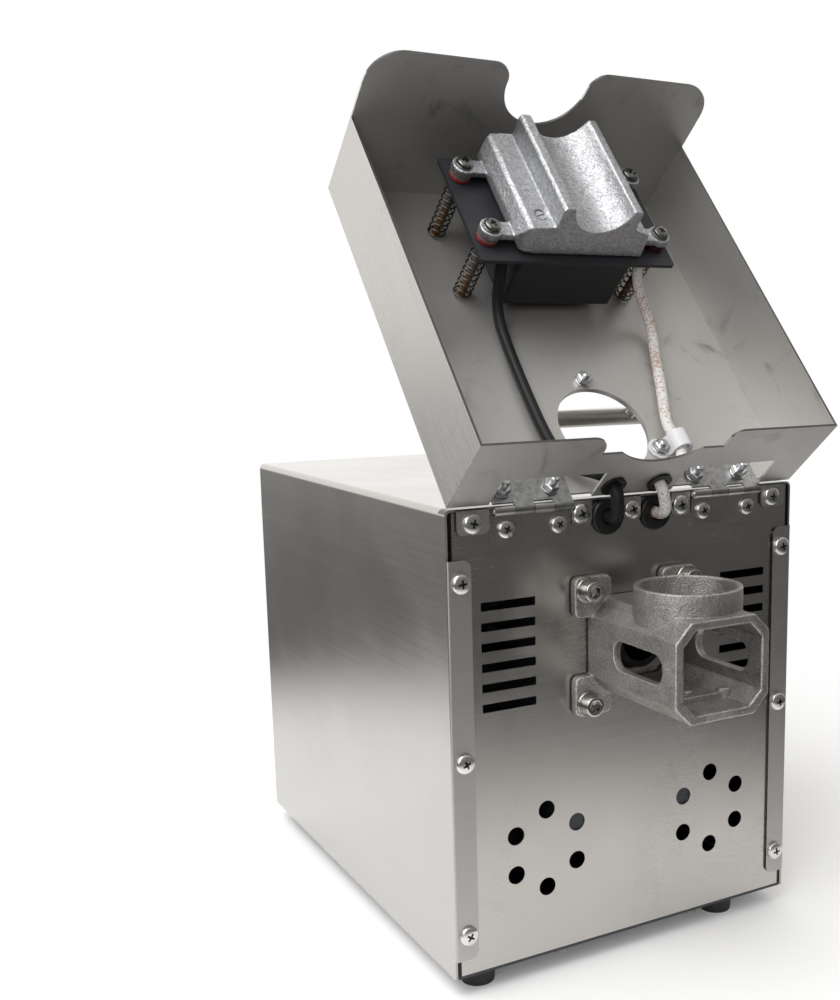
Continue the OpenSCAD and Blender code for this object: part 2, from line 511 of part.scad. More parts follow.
module control_board() color([0.1, 0.35, 0.16]) place() union() {
  difference() {
    box(-70, 188, 9.5, 40, 258, 11.1);
    ycyl(0, 0, 0.1, 0, 0.1);
  }
  for (x = [-64, 34], y = [193, 252]) translate([x, y, t + 0.3]) cylinder(r = 3, h = 9.5 - t - 0.3 + eps, $fn = q);
}
module board_parts() color([0.2, 0.2, 0.22]) place() {
  box(-62, 196, 11.1, -30, 222, 36);
  translate([-12, 206, 11.1]) cylinder(r = 9, h = 30, $fn = q);
  translate([10, 206, 11.1]) cylinder(r = 9, h = 30, $fn = q);
  box(-58, 232, 11.1, -38, 248, 27);
  box(-30, 232, 11.1, -10, 248, 27);
  box(0, 228, 11.1, 34, 232, 46);
}
module controller_housing() color([0.07, 0.07, 0.08]) place() translate([box_w / 2, ctl_y, ctl_z]) difference() {
  union() {
    difference() {
      box(0, -ctl_l / 2 - 1, -ctl_h / 2 - 1, 3, ctl_l / 2 + 1, ctl_h / 2 + 1);
    }
    box(-34, -ctl_l / 2 + 2.3, -ctl_h / 2 + 2.3, 0.5, ctl_l / 2 - 2.3, ctl_h / 2 - 2.3);
  }
  box(-31, -ctl_l / 2 + 4.5, -ctl_h / 2 + 4.5, -2.4, ctl_l / 2 - 4.5, ctl_h / 2 - 4.5);
  box(-5, -33, -10, 4, 11, 12);
  for (z = [-9, 0, 9]) xcyl(25, z, 3.2, -5, 5);
}
module controller_display() color([0.12, 0.02, 0.02]) place() translate([box_w / 2, ctl_y, ctl_z]) box(-2.4, -33, -10, 2.6, 11, 12);
module ctl_button(z) place() translate([box_w / 2, ctl_y + 25, ctl_z + z]) union() {
  xcyl(0, 0, 3, -2, 4);
  xcyl(0, 0, 4, -4.4, -2.5);
  xcyl(0, 0, 3, -3, -1.9);
}
module set_button() color([0.5, 0.5, 0.5]) ctl_button(9);
module up_button() color([0.5, 0.5, 0.5]) ctl_button(0);
module down_button() color([0.5, 0.5, 0.5]) ctl_button(-9);
// rocker switch housing: outward is +X, the paddle tips about Y
module switch_housings() color([0.06, 0.06, 0.06]) place() for (y = sw_y) translate([box_w / 2, y, sw_z]) difference() {
  union() {
    box(0, -12.8, -15.8, 2, 12.8, 15.8);
    box(-22, -11, -14, 0.5, 11, 14);
  }
  box(-10, -8.4, -12.6, 3, 8.4, 12.6);
  for (s = [-1, 1]) translate([-2, s > 0 ? 8.3 : -10.3, 0]) rotate([-90, 0, 0]) cylinder(r = 1.55, h = 2, $fn = q);
}
module paddle() union() {
  intersection() {
    ycyl(0, 0, 12.2, -8.2, 8.2);
    translate([0, 8.2, 0]) rotate([90, 0, 0]) linear_extrude(16.4)
      polygon([[-2.5, -12.5], [4.5, -12.5], [6.6, -11.5], [4.0, 0], [6.6, 11.5], [4.5, 12.5], [-2.5, 12.5], [-4.5, 3], [-4.5, -3]]);
  }
  ycyl(0, 0, 1.5, -9.6, 9.6);
}
module run_rocker() color([0.08, 0.08, 0.08]) place() translate([box_w / 2 - 2, sw_y[0], sw_z]) paddle();
module heat_rocker() color([0.55, 0.06, 0.05]) place() translate([box_w / 2 - 2, sw_y[1], sw_z]) rotate([0, 11, 0]) paddle();

// ---------- leads ----------
// loops between the lid's grommets and the panel's grommets
loop_l = smooth_path([[-14.8, -6.74, 229.23], [-14.8, -9, 226.6], [-14.8, -9.8, 224.3], [-14.8, -9.85, 222], [-14.8, -9.8, 219.6], [-14.7, -9.13, 217.1], [-14.6, -7.3, 215.27], [-14.5, -4.8, 214.6], [-14.5, 0.6, 214.6], [-14.5, 6, 214.6]], 5);
loop_r = smooth_path([[11.6, -6.74, 229.23], [11.6, -9, 226.6], [11.8, -9.8, 224.3], [12.2, -9.85, 222], [12.7, -9.8, 219.6], [13.1, -9.13, 217.1], [13.3, -7.3, 215.27], [13.4, -4.8, 214.6], [13.4, 0.6, 214.6], [13.4, 6, 214.6]], 5);
module lead_loops() color([0.1, 0.1, 0.1]) place() { sweep_tube(loop_l, 3.2); sweep_tube(loop_r, 2.9); }
in_l = smooth_path([[-14.5, 6.4, 214.6], [-14.5, 10, 214.6], [-15, 15, 213.6], [-18, 28, 208], [-28, 60, 205], [-56, 110, 196], [-66, 150, 160], [-66, 180, 100], [-58, 186, 50], [-50, 188, 24], [-48, 192, 14.2]], 4);
in_r = smooth_path([[13.4, 6.4, 214.6], [13.4, 10, 214.6], [13.8, 15, 213.6], [16, 28, 208], [26, 60, 205], [56, 110, 196], [62, 150, 160], [58, 180, 100], [44, 186, 50], [34, 190, 24], [30, 194, 14.2]], 4);
module inner_leads() color([0.12, 0.12, 0.12]) place() { sweep_tube(in_l, 2.9); sweep_tube(in_r, 2.9); }
// inside the lid, in the lid's own frame
lid_l = smooth_path([[-38.5, 122, 36.7], [-38.5, 121, 30], [-38.3, 117, 22], [-38, 111, 13], [-37.4, 103, 7], [-37, 92, 4.6], [-37.5, 75, 4.4], [-37.5, 55, 4.4], [-37, 38, 4.4], [-35.2, 25, 4.6], [-30, 14, 5.6], [-21, 7.8, 7.4], [-15.8, 4.6, 7.9], [-14.8, 1.5, 8], [-14.8, -0.6, 8]], 3);
lid_r = smooth_path([[39.6, 118.5, 36.7], [40.3, 117.4, 30], [43.1, 115.2, 23.5], [46.5, 110.8, 17], [50.4, 105.3, 11.5], [52.2, 99.3, 8], [50.9, 89.6, 5.6], [47.8, 78.1, 4.6], [44.4, 66, 4.6], [40.9, 54.7, 4.7], [37, 43.6, 5], [34.6, 35.5, 5.8], [34, 30, 6.4], [34, 17, 6.4], [28.5, 10, 7.2], [19, 8, 7.6], [13.2, 6, 8], [11.7, 3, 8], [11.6, -0.6, 8]], 3);
module lid_leads() color([0.8, 0.75, 0.7]) lid_place() { sweep_tube(lid_l, 2.9); sweep_tube(lid_r, 2.9); }

// ---------- lid, drawn flat: X across, Y from the hinge wall outwards, Z into the tray ----------
module lid_tray() color([0.66, 0.64, 0.61]) lid_place() difference() {
  union() {
    box(-lid_w / 2, 0, 0, lid_w / 2, lid_len, t);
    for (s = [-1, 1]) box(s > 0 ? lid_w / 2 - t : -lid_w / 2, 0.3, 0, s > 0 ? lid_w / 2 : -lid_w / 2 + t, lid_len - 0.3, lid_side_h);
    box(-lid_w / 2, 0, 0, lid_w / 2, t, lid_side_h);
    // far wall, taller, with big round corners
    translate([0, lid_len - t, 0]) union() {
      box(-lid_w / 2, 0, 0, lid_w / 2, t, lid_far_h - far_r);
      box(-lid_w / 2 + far_r, 0, lid_far_h - far_r - 1, lid_w / 2 - far_r, t, lid_far_h);
      for (s = [-1, 1]) intersection() {
        ycyl(s * (lid_w / 2 - far_r), lid_far_h - far_r, far_r, 0, t);
        box(s > 0 ? lid_w / 2 - far_r - 1 : -lid_w / 2, -1, lid_far_h - far_r - 1, s > 0 ? lid_w / 2 : -lid_w / 2 + far_r + 1, 3, lid_far_h);
      }
    }
  }
  // hopper hole and its three screws
  translate([0, hop_v, -5]) cylinder(r = hopper_hole_r, h = 10, $fn = 96);
  for (a = [90, 210, 330]) translate([30 * cos(a), hop_v + 30 * sin(a), -5]) cylinder(r = 2, h = 10, $fn = q);
  // heater bolts
  for (s = [-1, 1], v = bolt_v) translate([s * bolt_u, v, -5]) cylinder(r = 2.1, h = 10, $fn = q);
  // hinge notches at the bend and bolt holes beside them
  box(hinge_x[0] - hinge_len / 2 - 0.9, -2, -2, -23.1, t + 0.4, 18.6);
  box(23.1, -2, -2, hinge_x[1] + hinge_len / 2 + 2.2, t + 0.4, 18.6);
  for (x = bolt_x) translate([x, hinge_bolt_v, -5]) cylinder(r = 2, h = 10, $fn = q);
  // lead holes
  for (x = lid_gr_x) ycyl(x, lid_gr_w, 5, -3, 5);
  // stepped notch in the free edge of the hinge wall, with a round dip
  box(-33.3, -2, 33.4, 35.8, 5, 60);
  difference() {
    box(-42.8, -2, lid_side_h - 9.5, -33.2, 5, 60);
    ycyl(-42.8, lid_side_h - 9.5, 9.5, -3, 6);
  }
  difference() {
    box(35.7, -2, lid_side_h - 6.5, 42.3, 5, 60);
    ycyl(42.3, lid_side_h - 6.5, 6.5, -3, 6);
  }
  ycyl(1, 61.8, 36.5, -2, 5);
  // barrel notch in the far wall
  ycyl(-1.5, 74.5, 23.2, lid_len - 5, lid_len + 5);
  box(-24.7, lid_len - 5, 74.5, 21.7, lid_len + 5, 99);
  difference() {
    box(-34.7, lid_len - 5, 75, 31.7, lid_len + 5, 99);
    for (x = [-34.7, 31.7]) ycyl(x, 75, 10, lid_len - 6, lid_len + 6);
  }
}
module hinge_upper_leaves() color([0.6, 0.62, 0.62]) place() for (h = hinge_x) translate([h, hinge_y, hinge_z]) rotate([phi, 0, 0]) union() {
  knuckles([1, 3], pin_r + 0.05);
  difference() {
    box(-hinge_len / 2, 0, t, hinge_len / 2, 15.6, 2 * t);
    for (k = [0, 2]) box(-hinge_len / 2 + k * hinge_len / 4 - 0.12, -1, -3, -hinge_len / 2 + (k + 1) * hinge_len / 4 + 0.12, 2.7, 5);
    xcyl(0, 0, pin_r + 0.05, -hinge_len, hinge_len);
    for (x = bolt_x) translate([x - h, hinge_to_lid + hinge_bolt_v, -5]) cylinder(r = 2, h = 12, $fn = q);
  }
}
module hinge_bolts() color([0.8, 0.81, 0.83]) lid_place() for (x = bolt_x) translate([x, hinge_bolt_v, 0]) {
  union() {
    translate([0, 0, -2.1]) cylinder(r = 3.9, h = 2.1, $fn = q);
    translate([0, 0, -0.1]) cylinder(r = 2, h = 10.4, $fn = q);
  }
  translate([0, 0, 2 * t]) nut_washer(nr = 4.04, nh = 3, wr = 4.5, wh = 0.8, hole = 2);
}
module lid_handle() color([0.75, 0.74, 0.72]) lid_place() union() {
  for (s = [-1, 1]) translate([s * 48, 73, -35]) cylinder(r = 4, h = 35, $fn = q);
  translate([0, 73, -36]) rotate([0, 90, 0]) translate([0, 0, -64]) cylinder(r = 4.9, h = 128, $fn = q);
}
module hopper_ring() color([0.74, 0.73, 0.71]) lid_place() translate([0, hop_v, -1.5]) difference() {
  cylinder(r = 36, h = 1.5, $fn = 96);
  translate([0, 0, -1]) cylinder(r = hopper_hole_r, h = 5, $fn = 96);
  for (a = [90, 210, 330]) translate([30 * cos(a), 30 * sin(a), -1]) cylinder(r = 2, h = 5, $fn = q);
}
module ring_screws() color([0.82, 0.83, 0.84]) lid_place() for (a = [90, 210, 330]) translate([30 * cos(a), hop_v + 30 * sin(a), 0]) {
  union() {
    translate([0, 0, -3.7]) cylinder(r = 3.9, h = 2.2, $fn = q);
    translate([0, 0, -1.6]) cylinder(r = 2, h = (a == 330 ? 9.6 : 8), $fn = q);
  }
  translate([0, 0, a == 330 ? 2.4 : t]) nut_washer(nr = 4.04, nh = 3, wr = 4.5, wh = 0.8, hole = 2);
}
module lead_clip() color([0.85, 0.86, 0.88]) lid_place() difference() {
  union() {
    translate([26, 23.3, t]) cylinder(r = 6.2, h = 1.2, $fn = q);
    box(26, 18.3, t, 35, 28.3, 2.4);
    translate([35, 18.3, 6.5]) rotate([-90, 0, 0]) cylinder(r = 5.2, h = 10, $fn = q);
  }
  translate([35, 10, 6.5]) rotate([-90, 0, 0]) cylinder(r = 4.2, h = 25, $fn = q);
  translate([26, 23.3, -1]) cylinder(r = 2, h = 10, $fn = q);
  // cut back beside the hopper hole
  translate([0, hop_v, 0]) rotate([0, 0, -30]) box(20, -9, -1, 25.6, 9, 5);
}
module lid_grommets() color([0.04, 0.04, 0.04]) lid_place() for (x = lid_gr_x) translate([x, 0, lid_gr_w]) difference() {
  union() {
    ycyl(0, 0, 6.4, -1.3, 0);
    ycyl(0, 0, 5, -0.1, t + 0.1);
    ycyl(0, 0, 6.4, t, t + 1.5);
  }
  ycyl(0, 0, lead_bore, -5, 5);
}
module heater_bolts() color([0.6, 0.56, 0.48]) lid_place() for (s = [-1, 1], v = bolt_v) translate([s * bolt_u, v, 0]) {
  union() {
    translate([0, 0, -6]) cylinder(r = 2, h = 54.4, $fn = q);
    translate([0, 0, lug_w + lug_th]) cylinder(r = 4.6, h = 0.9, $fn = q);
    difference() {
      translate([0, 0, lug_w + lug_th + 0.9]) rotate_extrude($fn = q)
        intersection() { translate([0, 2.5 - 6.6]) circle(r = 6.6, $fn = 96); square([3.9, 4]); }
      for (a = [0, 90]) rotate([0, 0, a]) box(-2, -0.4, lug_w + lug_th + 2.2, 2, 0.4, lug_w + lug_th + 5);
    }
  }
  mirror([0, 0, 1]) nut_washer(nr = 4.04, nh = 3.2, wr = 4.6, wh = 1, hole = 2);
}
module heater_springs() color([0.25, 0.24, 0.23]) lid_place() for (s = [-1, 1], v = bolt_v) translate([s * bolt_u, v, t]) difference() {
  cylinder(r = 4.6, h = plate_w - t, $fn = q);
  translate([0, 0, -1]) cylinder(r = 3.7, h = 60, $fn = q);
}
// cross-section of the cast block: shelf at the left, two ridges, sloping flank at the right
module block_profile() translate([heat_x, 0]) polygon([
    [-30, 40.4], [35, 40.4], [33, 53.2], [31.5, 55.2], [24, 57.2], [22.7, 59], [22.1, 68.4], [21.1, 69.6], [17.1, 69.6], [16.1, 68.2],
    [-16.1, 68.2], [-17.3, 69.4], [-21.9, 69.4], [-23.1, 67.8], [-22.7, 58.5], [-23.3, 57], [-34.8, 56.6], [-36.4, 55.2], [-39.2, 48.5], [-39.6, 45], [-37, 41.4]]);
module heater_block() color([0.72, 0.73, 0.74]) lid_place() difference() {
  union() {
    intersection() {
      translate([0, block_v1, 0]) rotate([90, 0, 0]) linear_extrude(block_v1 - block_v0) block_profile();
      // rounded corners at the shelf side
      translate([heat_x, 0, 0]) union() {
        box(-32.8, block_v0 - 1, 30, 40, block_v1 + 1, 80);
        box(-39.8, block_v0 + 7, 30, 0, block_v1 - 7, 80);
        for (v = [block_v0 + 7, block_v1 - 7]) translate([-32.8, v, 30]) cylinder(r = 7, h = 50, $fn = 64);
      }
    }
    for (s = [-1, 1], v = bolt_v) {
      translate([s * bolt_u, v, lug_w]) cylinder(r = 6, h = lug_th, $fn = q);
      box(s > 0 ? 20 : -bolt_u, v - 4.6, lug_w, s > 0 ? bolt_u : -30, v + 4.6, lug_w + lug_th - 0.6);
    }
  }
  translate([heat_x, block_v0 - 1, 72]) rotate([-88.2, 0, 0]) cylinder(r = saddle_r, h = 80, $fn = 96);
  for (s = [-1, 1], v = bolt_v) translate([s * bolt_u, v, 30]) cylinder(r = 2.3, h = 30, $fn = q);
  // slotted sensor screw, sunk in the side shelf
  translate([heat_x - 27.6, 125.7, 54.6]) difference() {
    cylinder(r = 3.4, h = 4, $fn = q);
    cylinder(r = 2.8, h = 1.2, $fn = q);
  }
  translate([heat_x - 27.6, 125.7, 55.2]) rotate([0, 0, 20]) box(-2.8, -0.45, 0, 2.8, 0.45, 3);
}
// soft washers under the four lugs
module lug_washers() color([0.6, 0.1, 0.05]) lid_place() for (s = [-1, 1], v = bolt_v)
  translate([s * bolt_u, v, plate_w + plate_t]) difference() {
    cylinder(r = 5.5, h = lug_w - plate_w - plate_t, $fn = q);
    translate([0, 0, -1]) cylinder(r = 2.3, h = 9, $fn = q);
  }
module heater_plate() color([0.07, 0.07, 0.08]) lid_place() {
  difference() {
    zplate(-56.5, 56.5, 112, 181.5, plate_w, plate_w + plate_t, 1.5);
    for (s = [-1, 1], v = bolt_v) translate([s * bolt_u, v, 30]) cylinder(r = 2.3, h = 30, $fn = q);
  }
  // heat-resistant pad that carries the block on the plate
  translate([heat_x, 0, 0]) zplate(-28, 32, 122, 176, plate_w + plate_t, 40.4, 2);
}
module heater_box() color([0.05, 0.05, 0.06]) lid_place() difference() {
  zplate(-33, 32, 114, 178, 8, plate_w, 2);
  zplate(-31, 30, 116, 176, 10, plate_w + 1, 1);
}

cover_shell();
front_panel();
rear_panel();
base_plate();
rubber_feet();
cover_screws();
chassis_screws();
hinge_lower_leaves();
hinge_pins();
hinge_leaf_screws();
panel_grommets();
feed_casting();
casting_bolts();
casting_washers();
gearbox_case();
gearbox_cover();
gearbox_screws();
shaft_bushes();
output_hub();
output_gear();
lay_shaft();
lay_gears();
motor_pinion();
motor_shaft();
rotor_core();
stator();
motor_can();
motor_front_bell();
motor_end_bell();
motor_cradle();
fan_frame();
fan_impeller();
power_inlet();
control_board();
board_parts();
controller_housing();
controller_display();
set_button();
up_button();
down_button();
switch_housings();
run_rocker();
heat_rocker();
lead_loops();
inner_leads();
lid_tray();
hinge_upper_leaves();
hinge_bolts();
lid_handle();
hopper_ring();
ring_screws();
lead_clip();
lid_grommets();
heater_bolts();
heater_springs();
lid_leads();
heater_block();
lug_washers();
heater_plate();
heater_box();
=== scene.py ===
import math
import random

import bpy
import bmesh
import numpy as np
from mathutils import Matrix, Vector, noise


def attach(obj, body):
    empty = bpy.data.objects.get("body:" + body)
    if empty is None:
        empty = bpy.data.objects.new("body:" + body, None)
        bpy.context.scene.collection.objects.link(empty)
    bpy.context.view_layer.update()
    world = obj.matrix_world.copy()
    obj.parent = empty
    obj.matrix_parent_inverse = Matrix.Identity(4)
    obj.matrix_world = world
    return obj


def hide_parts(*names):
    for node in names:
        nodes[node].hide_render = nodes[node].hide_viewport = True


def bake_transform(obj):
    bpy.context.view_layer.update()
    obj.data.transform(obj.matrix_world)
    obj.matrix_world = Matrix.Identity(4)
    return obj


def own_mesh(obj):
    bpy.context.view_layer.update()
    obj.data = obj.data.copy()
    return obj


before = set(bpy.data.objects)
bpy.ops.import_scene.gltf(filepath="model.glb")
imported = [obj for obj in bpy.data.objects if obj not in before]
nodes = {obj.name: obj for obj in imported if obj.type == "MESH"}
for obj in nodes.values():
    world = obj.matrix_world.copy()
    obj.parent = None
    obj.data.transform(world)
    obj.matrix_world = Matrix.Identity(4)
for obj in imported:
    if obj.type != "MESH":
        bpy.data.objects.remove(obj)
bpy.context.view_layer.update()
scene = bpy.context.scene

# ---------------------------------------------------------------- frames
PHI = math.radians(49.3)
CP, SP = math.cos(PHI), math.sin(PHI)
SX, SY, SZ = -6.225 / 2, -(-71.5 + 268 + 4.2) / 2, 10.0
LID_M = Matrix(((1, 0, 0), (0, CP, -SP), (0, SP, CP)))


def R(x, y, z):
    """Casing frame in mm (x from the middle, y from the panel, z from the base) to metres in the row frame."""
    return Vector(((x + SX) / 1000, (y + SY) / 1000, (z + SZ) / 1000))


def L(x, v, w):
    """Lid frame in mm (x, along the lid, into the tray) to metres in the row frame."""
    return R(x, -2.4 + (3.8 + v) * CP - w * SP, 222 + (3.8 + v) * SP + w * CP)


# ---------------------------------------------------------------- camera
def make_camera():
    az, el, roll = math.radians(-29.95), math.radians(9.69), math.radians(-0.69)
    right = Vector((math.cos(az), math.sin(az), 0))
    fwd = Vector((-math.sin(az) * math.cos(el), math.cos(az) * math.cos(el), -math.sin(el)))
    up = right.cross(fwd)
    r2 = math.cos(roll) * right + math.sin(roll) * up
    u2 = -math.sin(roll) * right + math.cos(roll) * up
    cam = bpy.data.cameras.new("camera")
    ob = bpy.data.objects.new("camera", cam)
    scene.collection.objects.link(ob)
    m = Matrix((r2, u2, -fwd)).transposed().to_4x4()
    m.translation = R(-326.84, -476.48, 294.65)
    ob.matrix_world = m
    cam.sensor_width = 36
    cam.lens = 1204.15 * 36 / 1000
    cam.shift_x = (420 - 538.44) / 1000
    cam.shift_y = (552.43 - 500) / 1000
    cam.clip_start = 0.01
    cam.clip_end = 50
    scene.camera = ob


make_camera()
scene.view_settings.view_transform = "Standard"
scene.view_settings.look = "None"


# ---------------------------------------------------------------- node helpers
class Tree:
    def __init__(self, nt):
        self.nt = nt
        nt.nodes.clear()

    def n(self, kind, **kw):
        node = self.nt.nodes.new(kind)
        for k, v in kw.items():
            setattr(node, k, v)
        return node

    def link(self, a, b):
        self.nt.links.new(a, b)

    def set(self, node, **kw):
        for k, v in kw.items():
            node.inputs[k.replace("_", " ")].default_value = v
        return node

    def math(self, op, a, b=None, c=None, clamp=False):
        m = self.n("ShaderNodeMath", operation=op, use_clamp=clamp)
        for i, x in enumerate((a, b, c)):
            if x is None:
                continue
            if isinstance(x, (int, float)):
                m.inputs[i].default_value = x
            else:
                self.link(x, m.inputs[i])
        return m.outputs[0]

    def ramp(self, fac, stops, interp="LINEAR"):
        r = self.n("ShaderNodeValToRGB")
        r.color_ramp.interpolation = interp
        while len(r.color_ramp.elements) < len(stops):
            r.color_ramp.elements.new(0.5)
        for e, (p, c) in zip(r.color_ramp.elements, stops):
            e.position = p
            e.color = (*c, 1) if isinstance(c, (tuple, list)) else (c, c, c, 1)
        self.link(fac, r.inputs[0])
        return r.outputs[0]

    def range(self, v, a0, a1, b0, b1, clamp=True, smooth=False):
        m = self.n("ShaderNodeMapRange", clamp=clamp)
        if smooth:
            m.interpolation_type = "SMOOTHSTEP"
        for i, x in enumerate((v, a0, a1, b0, b1)):
            if isinstance(x, (int, float)):
                m.inputs[i].default_value = x
            else:
                self.link(x, m.inputs[i])
        return m.outputs[0]

    def noise(self, vec, scale, detail=3.0, rough=0.55, dist=0.0, kind="FBM"):
        t = self.n("ShaderNodeTexNoise")
        t.inputs["Scale"].default_value = scale
        t.inputs["Detail"].default_value = detail
        t.inputs["Roughness"].default_value = rough
        t.inputs["Distortion"].default_value = dist
        self.link(vec, t.inputs["Vector"])
        return t.outputs["Fac"]

    def mapping(self, vec, scale=(1, 1, 1), rot=(0, 0, 0), loc=(0, 0, 0)):
        m = self.n("ShaderNodeMapping")
        m.inputs["Scale"].default_value = scale
        m.inputs["Rotation"].default_value = rot
        m.inputs["Location"].default_value = loc
        self.link(vec, m.inputs["Vector"])
        return m.outputs[0]

    def mix(self, fac, a, b):
        m = self.n("ShaderNodeMix", data_type="RGBA")
        for sock, x in ((m.inputs[0], fac), (m.inputs[6], a), (m.inputs[7], b)):
            if isinstance(x, (int, float)):
                sock.default_value = x if sock is m.inputs[0] else (x, x, x, 1)
            elif isinstance(x, (tuple, list)):
                sock.default_value = (*x, 1)
            else:
                self.link(x, sock)
        return m.outputs[2]

    def bump(self, height, strength, dist, normal=None):
        b = self.n("ShaderNodeBump")
        b.inputs["Strength"].default_value = strength
        b.inputs["Distance"].default_value = dist
        self.link(height, b.inputs["Height"])
        if normal is not None:
            self.link(normal, b.inputs["Normal"])
        return b.outputs[0]


def material(name):
    m = bpy.data.materials.new(name)
    m.use_nodes = True
    t = Tree(m.node_tree)
    out = t.n("ShaderNodeOutputMaterial")
    p = t.n("ShaderNodeBsdfPrincipled")
    t.link(p.outputs[0], out.inputs[0])
    return m, t, p


def plain(name, col, rough=0.5, metal=0.0, coat=0.0, spec=0.5, trans=0.0, ior=1.45, scale=55.0, var=0.18, dust=0.0, bump=0.15):
    m, t, p = material(name)
    t.set(p, Metallic=metal, IOR=ior)
    tc = t.n("ShaderNodeTexCoord").outputs["Object"]
    a = t.noise(tc, scale, 5.0, 0.62, 0.3)
    b = t.noise(tc, 900.0, 2.0, 0.5)
    t.link(t.mix(t.range(a, 0.32, 0.68, 0, 1), tuple(x * (1 - var) for x in col), tuple(min(1, x * (1 + var) + dust) for x in col)), p.inputs["Base Color"])
    t.link(t.range(a, 0.3, 0.7, max(rough - 0.07, 0.02), min(rough + 0.07, 1)), p.inputs["Roughness"])
    t.link(t.bump(b, bump, 0.00008), p.inputs["Normal"])
    p.inputs["Coat Weight"].default_value = coat
    p.inputs["Specular IOR Level"].default_value = spec
    p.inputs["Transmission Weight"].default_value = trans
    return m


